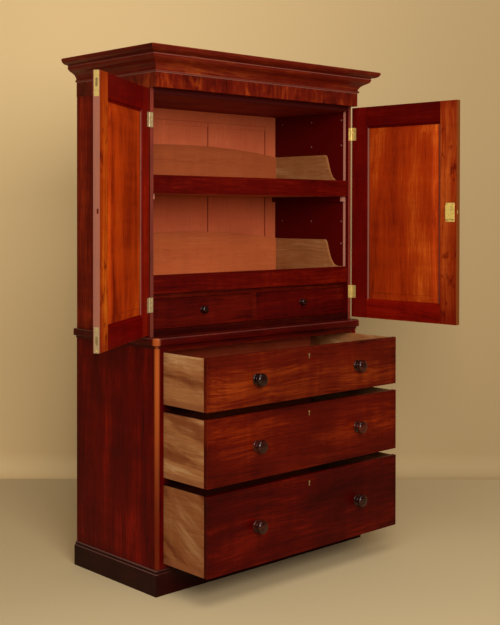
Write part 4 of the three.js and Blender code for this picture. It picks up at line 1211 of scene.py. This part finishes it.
def boxed(reach, tones, seed, patches=0.85, slant=-0.1):
    """Turns the grain of a box's two sides to run from front to back, with pale sap and reddish heart patches."""
    def tint(tree, vector, shade):
        side = maths(tree, "GREATER_THAN", maths(tree, "ABSOLUTE", axes(tree, vector)["X"]), reach)
        along = grained(tree, vector, "y", seed, tones, 0.45, 0.4, 0.35)["Color"]
        leaning = {"Vector": vector, "Rotation": (slant, 0, 0), "Location": (seed, 0, 0)}
        slanted = add(tree, "ShaderNodeMapping", leaning).outputs[0]
        heart = stretched(tree, slanted, (2.0, 2.4, 12.0), Scale=1.0, Detail=3.0, Roughness=0.6, Distortion=0.3)
        reddish = times(tree, along, (0.5, 0.3, 0.25))
        patched = mixed(tree, between(tree, heart, 0.48, 0.64, 0.0, patches), along, reddish)
        sap = mixed(tree, between(tree, heart, 0.26, 0.44, 0.5, 0.0), patched, tones[0])
        return mixed(tree, side, shade, sap)
    return tint


LONG_DRAWERS = ("long_drawer_bottom", "long_drawer_middle", "long_drawer_top")
SMALL_DRAWERS = ("small_drawer_left", "small_drawer_right")


class PRESS_OT_finish_drawers(Operator):
    """Finish the fronts and the boxes of the three long and the two small drawers"""

    bl_idname = "press.finish_drawers"
    bl_label = "Finish drawers"

    def execute(self, context):
        polished = context.scene.press_mahogany
        lining = context.scene.press_lining
        red, plain = tones_of(polished), tones_of(lining, "drawer_")
        warm = dulled(tones_of(lining, "tray_"), (0.55, 0.35, 0.34))
        for seed, drawer in enumerate(LONG_DRAWERS + SMALL_DRAWERS):
            finish_wood(drawer + "_front", red, "x", 71.0 + 2.3 * seed, figure=0.8, age=0.6, near=0.3, rubbed=0.1,
                        **shine_of(polished))
            low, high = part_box(drawer + "_box")
            board = THICK_BOARD if drawer in LONG_DRAWERS else THIN_BOARD
            # The two lower long drawers are painted darker inside, as painted shade under the drawer above.
            tint = self.sides(
                (low.x + high.x) / 2, (high.x - low.x) / 2 - board, low.z, part_tones(drawer + "_sides", plain),
                91.0 + seed, slant=-0.5 if drawer == "long_drawer_bottom" else -0.1,
                inside=0.4 if drawer in LONG_DRAWERS[:2] else 1.0,
            )
            finish_wood(drawer + "_box", warm, "x", 83.0 + 2.9 * seed, tint=tint, **dry_look(lining))
        return {"FINISHED"}

    def sides(self, middle, reach, foot, tones, seed, slant, inside):
        """Pale sides about a drawer's own middle, with a darker slip along the bottom and an inside darkened by
        painted shade.
        """
        paint = boxed(reach, tones, seed, slant=slant)

        def tint(tree, vector, shade):
            centred = vector_maths(tree, "SUBTRACT", vector, (middle, 0, 0))
            sided = paint(tree, centred, shade)
            across = maths(tree, "ABSOLUTE", axes(tree, centred)["X"])
            inner = maths(tree, "LESS_THAN", across, reach + 0.006)
            sided = mixed(tree, inner, sided, times(tree, sided, (inside, inside, inside)))
            slip = between(tree, axes(tree, vector)["Z"], foot + 0.022, foot + 0.026, 0.55, 0.0)
            return mixed(tree, slip, sided, (0.22, 0.07, 0.025))
        return tint


class PRESS_OT_finish_trays(Operator):
    """Finish the two sliding trays"""

    bl_idname = "press.finish_trays"
    bl_label = "Finish trays"

    def execute(self, context):
        polished = context.scene.press_mahogany
        lining = context.scene.press_lining
        red, warm = tones_of(polished), tones_of(lining, "tray_")
        plain = dulled(tones_of(lining, "drawer_"), (0.9, 0.85, 0.8))
        for seed, tray in enumerate(("upper_tray", "lower_tray")):
            finish_wood(tray + "_front", red, "x", 101.0 + seed, age=0.4, near=0.2, rubbed=0.1,
                        **shine_of(polished))
            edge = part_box(tray + "_body")[1].x
            paint = boxed(edge - THICK_BOARD, plain, 111.0 + seed, patches=0.25)
            finish_wood(
                tray + "_body", warm, "x", 107.0 + seed, figure=0.4, streaks=0.35, age=0.3, near=0.15, rubbed=0.0,
                tint=self.polished_outside(paint, edge, red), **dry_look(lining, 0.08),
            )
        return {"FINISHED"}

    def polished_outside(self, paint, edge, red):
        """The outer face of each side is polished like the front."""
        def tint(tree, vector, shade):
            sided = paint(tree, vector, shade)
            across = maths(tree, "ABSOLUTE", axes(tree, vector)["X"])
            return mixed(tree, maths(tree, "GREATER_THAN", across, edge - 0.0012), sided, red[1])
        return tint


# Knobs

# A knob's outline in shares of its radius and its reach: a foot, a waist and a domed head
KNOB_SHAPE = (
    (0, 0), (0.8, 0), (0.86, 0.02), (0.89, 0.06), (0.88, 0.1), (0.8, 0.135), (0.62, 0.17), (0.46, 0.21),
    (0.385, 0.27), (0.375, 0.33), (0.43, 0.39), (0.58, 0.44), (0.77, 0.49), (0.91, 0.56), (0.985, 0.64), (1, 0.71),
    (0.98, 0.78), (0.92, 0.85), (0.81, 0.91), (0.66, 0.955), (0.48, 0.982), (0.26, 0.996), (0.1, 1), (0, 1),
)


class PRESS_OT_turn_knobs(Operator):
    """Turn the eight wooden knobs"""

    bl_idname = "press.turn_knobs"
    bl_label = "Turn knobs"

    def execute(self, context):
        steps = context.scene.press_fittings.knob_segments
        material = knob_material("polished_knob")
        for drawer in LONG_DRAWERS:
            for side in ("left", "right"):
                self.turn(f"{drawer}_knob_{side}", drawer, material, steps)
        for drawer in SMALL_DRAWERS:
            self.turn(drawer + "_knob", drawer, material, steps)
        return {"FINISHED"}

    def turn(self, node, body, material, steps):
        """Turns one knob from its box."""
        low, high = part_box(node)
        radius, reach = (high.x - low.x) / 2, high.y - low.y
        place = Matrix.Translation(((low.x + high.x) / 2, high.y, (low.z + high.z) / 2))
        place = place @ Matrix.Rotation(math.pi / 2, 4, "X")
        form = turned_form([(r * radius, h * reach) for r, h in KNOB_SHAPE], steps, place)
        piece = new_piece("turned_" + node, form, material, math.radians(50))
        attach(piece, body)
        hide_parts(node)


# Brass

def screw_heads(name, places, radius, proud, material, body):
    """Slotted screw heads as one piece. Each place has its local Z axis out of the surface."""
    steps, slot = 10, 0.16
    sunk, shoulder, crown_share, floor_share = -0.0004, proud * 0.45, 0.8, 0.97
    first = math.asin(slot)
    angles = [first + (math.pi - 2 * first) * i / steps for i in range(steps + 1)]
    slot_edge, floor_end = radius * slot, radius * floor_share
    floor = [(-floor_end, -slot_edge), (floor_end, -slot_edge), (floor_end, slot_edge), (-floor_end, slot_edge)]
    data = bmesh.new()

    def ring(seat, points, height):
        return [data.verts.new(seat @ Vector((x, y, height))) for x, y in points]

    for number, place in enumerate(places):
        seat = place @ Matrix.Rotation(0.4 + 1.1 * number, 4, "Z")
        for side in (1, -1):
            rim = [(radius * math.cos(angle), side * radius * math.sin(angle)) for angle in angles]
            eased = [(x * crown_share, side * slot_edge + (y - side * slot_edge) * crown_share) for x, y in rim]
            foot, edge, crown = ring(seat, rim, sunk), ring(seat, rim, shoulder), ring(seat, eased, proud)
            join_rings(data, foot, edge)
            join_rings(data, edge, crown)
            data.faces.new(crown)
            data.faces.new(foot)
        data.faces.new(ring(seat, floor, 0.00003))
    piece = new_piece(name, data, material, math.radians(40))
    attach(piece, body)


def part_way(low, high, portion):
    """The point a portion of the way from low to high."""
    return low + (high - low) * portion


BRASS_NODES = (
    [f"hinge_{side}_{height}_{leaf}_leaf" for side in ("left", "right") for height in ("lower", "upper")
     for leaf in ("case", "door")]
    + ["flush_bolt_plate_top", "flush_bolt_plate_bottom", "flush_bolt_slide_top", "flush_bolt_slide_bottom",
       "lock_case", "lock_bolt"]
)
# Each hinge leaf's three screws: their height in the leaf and, on the doors, how far across it they sit
LEAF_SCREWS = ((0.17, 0.6), (0.5, 0.78), (0.83, 0.6))


class PRESS_OT_fit_brass(Operator):
    """Finish the hinges, the flush bolts and the lock, and set their screws"""

    bl_idname = "press.fit_brass"
    bl_label = "Fit brass"

    def execute(self, context):
        fittings = context.scene.press_fittings
        metal = context.scene.press_metal
        old = brass_material("old_brass", metal.brass, metal.tarnish)
        dull = brass_material("dull_brass", metal.worn, metal.tarnish, 0.2)
        handled = brass_material("bright_brass", *dulled((metal.brass, metal.tarnish), (1.4, 1.45, 1.2)), 0.3)
        # The flush bolts' slides: tarnished brass, painted dark as painted shade in their recesses.
        dark = brass_material("dark_brass", metal.tarnish, dulled((metal.tarnish,), (0.3, 0.3, 0.3))[0], 0.3)
        for node in BRASS_NODES:
            finish = old
            if "slide" in node:
                finish = dark
            elif node.endswith("bottom") or node.startswith("hinge_left"):
                finish = dull
            elif node == "lock_case":
                finish = handled
            finish_board(node, finish, arris=0.0003)
        size = (fittings.screw_radius, fittings.screw_proud, old)
        screw_heads("screws_left_door", self.door_seats("left", LEFT_PLACE), *size, "left_door")
        screw_heads("screws_right_door", self.door_seats("right", RIGHT_PLACE), *size, "right_door")
        screw_heads("screws_case", self.case_seats(), *size, "carcase")
        return {"FINISHED"}

    def door_seats(self, side, place):
        """Where a door's screws sit: in its hinge leaves, then in its lock or its flush bolts."""
        out_of_back = Matrix.Rotation(-math.pi / 2, 4, "X")
        out_of_edge = Matrix.Rotation(math.pi / 2, 4, "Y")
        seats = []
        for height in ("lower", "upper"):
            low, high = door_corners(f"hinge_{side}_{height}_door_leaf", place)
            seats += [((high.x * across, SKIN - LEAF_FACE, part_way(low.z, high.z, up)), out_of_back)
                      for up, across in LEAF_SCREWS]
        if side == "right":
            low, high = door_corners("lock_case", place)
            seats += [((part_way(low.x, high.x, x), SKIN - LEAF_FACE, part_way(low.z, high.z, z)), out_of_back)
                      for x in (0.2, 0.8) for z in (0.07, 0.93)]
        else:
            for plate in ("flush_bolt_plate_top", "flush_bolt_plate_bottom"):
                low, high = door_corners(plate, place)
                seats += [((high.x + SKIN, (low.y + high.y) / 2, part_way(low.z, high.z, z)), out_of_edge)
                          for z in (0.09, 0.91)]
        return [place @ Matrix.Translation(spot) @ turn for spot, turn in seats]

    def case_seats(self):
        """Where the screws of the four case leaves sit."""
        face = joint("left_door_hinge")["pos_m"][1] + LEAF_FACE - SKIN
        seats = []
        for side, name in ((-1, "left"), (1, "right")):
            for height in ("lower", "upper"):
                low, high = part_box(f"hinge_{name}_{height}_case_leaf")
                across = (high.x if side < 0 else low.x) + side * 0.006
                seats += [Matrix.Translation((across, face, part_way(low.z, high.z, up))) for up, _ in LEAF_SCREWS]
        return [seat @ Matrix.Rotation(math.pi / 2, 4, "X") for seat in seats]


# The peg holes inside the cupboard: how deep each hole of a row lies, and the rows by height
PEG_DEPTHS = (0.2061, 0.0111, -0.1789)
PEG_ROWS = ((1.89, PEG_DEPTHS), (1.776, PEG_DEPTHS[1:]), (1.43, PEG_DEPTHS), (1.33, PEG_DEPTHS[1:]))


class PRESS_OT_fit_keyholes(Operator):
    """Line the keyholes of the long drawers with brass, with a dark disc of painted shade in each keyhole, and set
    thin discs for the cupboard's peg holes, with painted shade and dust
    """

    bl_idname = "press.fit_keyholes"
    bl_label = "Fit keyholes"

    def execute(self, context):
        fittings = context.scene.press_fittings
        brass = bpy.data.materials["old_brass"]
        dark = shaded_hole_material("hollow")
        height = fittings.escutcheon_height
        for drawer in LONG_DRAWERS:
            low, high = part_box(drawer + "_front")
            middle = Vector((0, low.y, high.z - fittings.escutcheon_drop - height / 2))
            place = Matrix.Translation(middle) @ Matrix.Rotation(math.pi / 2, 4, "X")
            for name, grow, proud, material, slot in (
                ("escutcheon_", 0.0, 0.0004, brass, "brass"),
                ("keyhole_", -0.0012, 0.00045, dark, "mahogany"),
            ):
                piece = new_piece(name + drawer, self.keyhole(height, grow, proud, place), material)
                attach(piece, drawer)
        dusty = shaded_hole_material("dusty_hollow", (0.2, 0.09, 0.07), (0.36, 0.2, 0.17))
        piece = new_piece("peg_holes", self.pegs(fittings.peg_radius), dusty)
        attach(piece, "carcase")
        return {"FINISHED"}

    def pegs(self, radius):
        """Thin discs in rows on the inner faces of the cupboard's sides."""
        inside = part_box("upper_side_right")[1].x - CUPBOARD_SIDE - 0.00005
        thick = 0.00006
        disc = [(0, 0), (radius, 0), (radius * 0.96, thick), (0, thick)]
        data = bmesh.new()
        for up, depths in PEG_ROWS:
            for deep, side in ((deep, side) for deep in depths for side in (-1, 1)):
                place = Matrix.Translation((side * inside, deep, up)) @ Matrix.Rotation(math.pi / 2, 4, "Y")
                form = turned_form(disc, 16, place)
                spare = bpy.data.meshes.new("disc")
                form.to_mesh(spare)
                form.free()
                data.from_mesh(spare)
                bpy.data.meshes.remove(spare)
        return data

    def keyhole(self, height, grow, proud, place):
        """A keyhole outline: a round top over a slot that widens a little to a rounded foot."""
        bow = 0.0033
        top, centre, shoulder = bow + grow, height / 2 - bow, height / 2 - bow - 0.006
        neck, foot, base = 0.0017 + grow * 0.6, 0.0024 + grow * 0.6, -height / 2 - grow
        points = [(top * math.cos(a), centre + top * math.sin(a)) for a in
                  (math.radians(-50 + 280 * i / 14) for i in range(15))]
        points += [(-neck, shoulder), (-foot, base + foot)]
        points += [(foot * math.cos(a), base + foot + foot * math.sin(a)) for a in
                   (math.radians(180 + 180 * i / 8) for i in range(1, 8))]
        points += [(foot, base + foot), (neck, shoulder)]
        data = bmesh.new()
        under, over = ([data.verts.new(place @ Vector((x, y, z))) for x, y in points] for z in (-0.0002, proud))
        join_rings(data, under, over)
        data.faces.new(over)
        data.faces.new(list(reversed(under)))
        return data


# Stage

def see_through_from_behind(name, value, evened=None):
    """A plain matt colour, clear from behind. Evened, it is paler on the left, where the lamps reach less."""
    material, tree, shader, coordinates = blank_material(name)
    mottle = noise(tree, coordinates, Scale=0.6, Detail=2.0)
    shade = mixed(tree, between(tree, mottle, 0.3, 0.7, 0.0, 0.08), value, tuple(v * 0.85 for v in value))
    if evened:
        middle, side = evened
        away = vector_maths(tree, "SUBTRACT", coordinates, middle)
        right = add(tree, "ShaderNodeVectorMath", {0: away, 1: side}, operation="DOT_PRODUCT").outputs["Value"]
        ramp = between(tree, right, -1.5, 1.5)
        shade = times(tree, shade, mixed(tree, ramp, (1.26, 1.22, 1.17), (0.74, 0.7, 0.66)))
    wire(tree, shader, {"Base Color": shade, "Roughness": 0.9, "Specular IOR Level": 0.2})
    behind = add(tree, "ShaderNodeNewGeometry").outputs["Backfacing"]
    clear = add(tree, "ShaderNodeBsdfTransparent").outputs[0]
    choice = add(tree, "ShaderNodeMixShader", {"Fac": behind, 1: shader.outputs[0], 2: clear})
    wire(tree, tree.nodes["Material Output"], {"Surface": choice.outputs[0]})
    return material


def flat_sheet(name, corners, material):
    """A stage sheet from pairs of corners, left and right; it faces up and back to where it starts."""
    mesh = bpy.data.meshes.new(name)
    faces = [(i, i + 1, i + 3, i + 2) for i in range(0, len(corners) - 2, 2)]
    mesh.from_pydata(corners, [], faces)
    mesh.materials.append(material)
    for face in mesh.polygons:
        face.use_smooth = True
    sheet = bpy.data.objects.new(name, mesh)
    bpy.context.scene.collection.objects.link(sheet)


def soft_lamp(name, place, target, size, power, tone):
    """A rectangular soft lamp that looks at a point."""
    lamp = bpy.data.lights.new(name, "AREA")
    lamp.shape = "RECTANGLE"
    lamp.size, lamp.size_y = size
    lamp.energy = power
    lamp.color = tone
    holder = bpy.data.objects.new(name, lamp)
    holder.location = place
    holder.rotation_euler = (Vector(target) - Vector(place)).to_track_quat("-Z", "Y").to_euler()
    bpy.context.scene.collection.objects.link(holder)


class PRESS_OT_set_stage(Operator):
    """Set the floor, the backdrop, the lights and the camera"""

    bl_idname = "press.set_stage"
    bl_label = "Set stage"

    def execute(self, context):
        scene = context.scene
        stage = scene.press_stage
        self.set_camera(scene, stage)
        self.set_sheets(stage)
        soft_lamp("key_light", place=(-2.6, -4.5, 2.6), target=(0, 0, 1.2), size=(2.6, 2.2), power=stage.key,
                  tone=(1.0, 0.97, 0.92))
        soft_lamp("top_light", place=(-1.2, -2.2, 5.2), target=(0, 0.4, 0.8), size=(3.0, 3.0), power=stage.fill,
                  tone=(1.0, 0.96, 0.9))
        self.set_sky(scene, stage)
        scene.view_settings.view_transform = "Standard"
        return {"FINISHED"}

    def set_camera(self, scene, stage):
        camera = bpy.data.cameras.new("camera")
        camera.lens = stage.camera_lens
        camera.sensor_width = 36
        camera.sensor_fit = "AUTO"
        camera.shift_x, camera.shift_y = stage.shift_x, stage.shift_y
        camera.clip_end = 60
        holder = bpy.data.objects.new("camera", camera)
        holder.location = stage.camera_place
        holder.rotation_euler = (math.pi / 2 + stage.camera_pitch, stage.camera_roll, -stage.camera_yaw)
        scene.collection.objects.link(holder)
        scene.camera = holder

    def set_sheets(self, stage):
        """A floor and, some way in front of the camera, a wall that rises from it with a small cove."""
        ahead = Vector((math.sin(stage.camera_yaw), math.cos(stage.camera_yaw), 0))
        side = Vector((ahead.y, -ahead.x, 0))
        start = Vector((stage.camera_place[0], stage.camera_place[1], 0))
        wall, cove, top, reaches, floor_back, floor_front = 6.24, 0.12, 7.0, (-14, 14), 16, 22
        turns = [math.radians(90 * i / 8) for i in range(1, 9)]
        strip = [(wall - cove, 0.0)]
        strip += [(wall - cove + cove * math.sin(turn), cove * (1 - math.cos(turn))) for turn in turns]
        strip += [(wall, top)]
        corners = [start + ahead * out + side * reach + Vector((0, 0, up))
                   for out, up in strip for reach in reaches]
        flat_sheet("backdrop", corners, see_through_from_behind("backdrop_paint", stage.backdrop, (start, side)))
        corners = [start + ahead * out + side * reach for out in (-floor_back, floor_front) for reach in reaches]
        flat_sheet("floor", corners, see_through_from_behind("floor_paint", stage.floor))

    def set_sky(self, scene, stage):
        """Even light from all round, dimmer in reflections, and the backdrop's colour past the backdrop."""
        world = bpy.data.worlds.new("sky")
        scene.world = world
        world.use_nodes = True
        tree = world.node_tree
        tree.nodes.clear()
        path = add(tree, "ShaderNodeLightPath").outputs
        mirrored = product(tree, path["Is Glossy Ray"], 0.85)
        strength = product(tree, maths(tree, "SUBTRACT", 1.0, mirrored), stage.sky)
        even = add(tree, "ShaderNodeBackground", {"Color": (1, 0.97, 0.93), "Strength": strength}).outputs[0]
        pale = add(tree, "ShaderNodeBackground", {"Color": stage.backdrop, "Strength": 0.9}).outputs[0]
        choice = add(tree, "ShaderNodeMixShader", {"Fac": path["Is Camera Ray"], 1: even, 2: pale})
        add(tree, "ShaderNodeOutputWorld", {"Surface": choice.outputs[0]})


class PRESS_PT_panel(Panel):
    """Shows the press's settings and the buttons that finish and fit its pieces"""

    bl_idname = "PRESS_PT_panel"
    bl_label = "Linen press"
    bl_space_type = "VIEW_3D"
    bl_region_type = "UI"
    bl_category = "Linen press"

    def draw(self, context):
        layout = self.layout
        for name, label, kind in SETTINGS:
            box = layout.box()
            box.label(text=label)
            group_of_settings = getattr(context.scene, name)
            for key in kind.__annotations__:
                box.prop(group_of_settings, key)
        for operator in OPERATORS:
            layout.operator(operator.bl_idname)


SETTINGS = (
    ("press_mahogany", "Polished mahogany", PressMahogany),
    ("press_door_wood", "Inside of the doors", PressDoorWood),
    ("press_lining", "Linings", PressLining),
    ("press_metal", "Brass and knobs", PressMetal),
    ("press_fittings", "Small fittings", PressFittings),
    ("press_stage", "Stage", PressStage),
)
OPERATORS = (
    PRESS_OT_finish_carcase,
    PRESS_OT_fit_mouldings,
    PRESS_OT_finish_doors,
    PRESS_OT_finish_drawers,
    PRESS_OT_finish_trays,
    PRESS_OT_turn_knobs,
    PRESS_OT_fit_brass,
    PRESS_OT_fit_keyholes,
    PRESS_OT_set_stage,
)


def register():
    for name, label, kind in SETTINGS:
        bpy.utils.register_class(kind)
        setattr(bpy.types.Scene, name, PointerProperty(type=kind, name=label))
    for operator in OPERATORS:
        bpy.utils.register_class(operator)
    bpy.utils.register_class(PRESS_PT_panel)


def unregister():
    bpy.utils.unregister_class(PRESS_PT_panel)
    for operator in reversed(OPERATORS):
        bpy.utils.unregister_class(operator)
    for name, _, kind in reversed(SETTINGS):
        delattr(bpy.types.Scene, name)
        bpy.utils.unregister_class(kind)


def main():
    register()
    bpy.ops.press.finish_carcase()
    bpy.ops.press.fit_mouldings()
    bpy.ops.press.finish_doors()
    bpy.ops.press.finish_drawers()
    bpy.ops.press.finish_trays()
    bpy.ops.press.turn_knobs()
    bpy.ops.press.fit_brass()
    bpy.ops.press.fit_keyholes()
    bpy.ops.press.set_stage()
    bpy.context.view_layer.update()


if __name__ == "__main__":
    main()
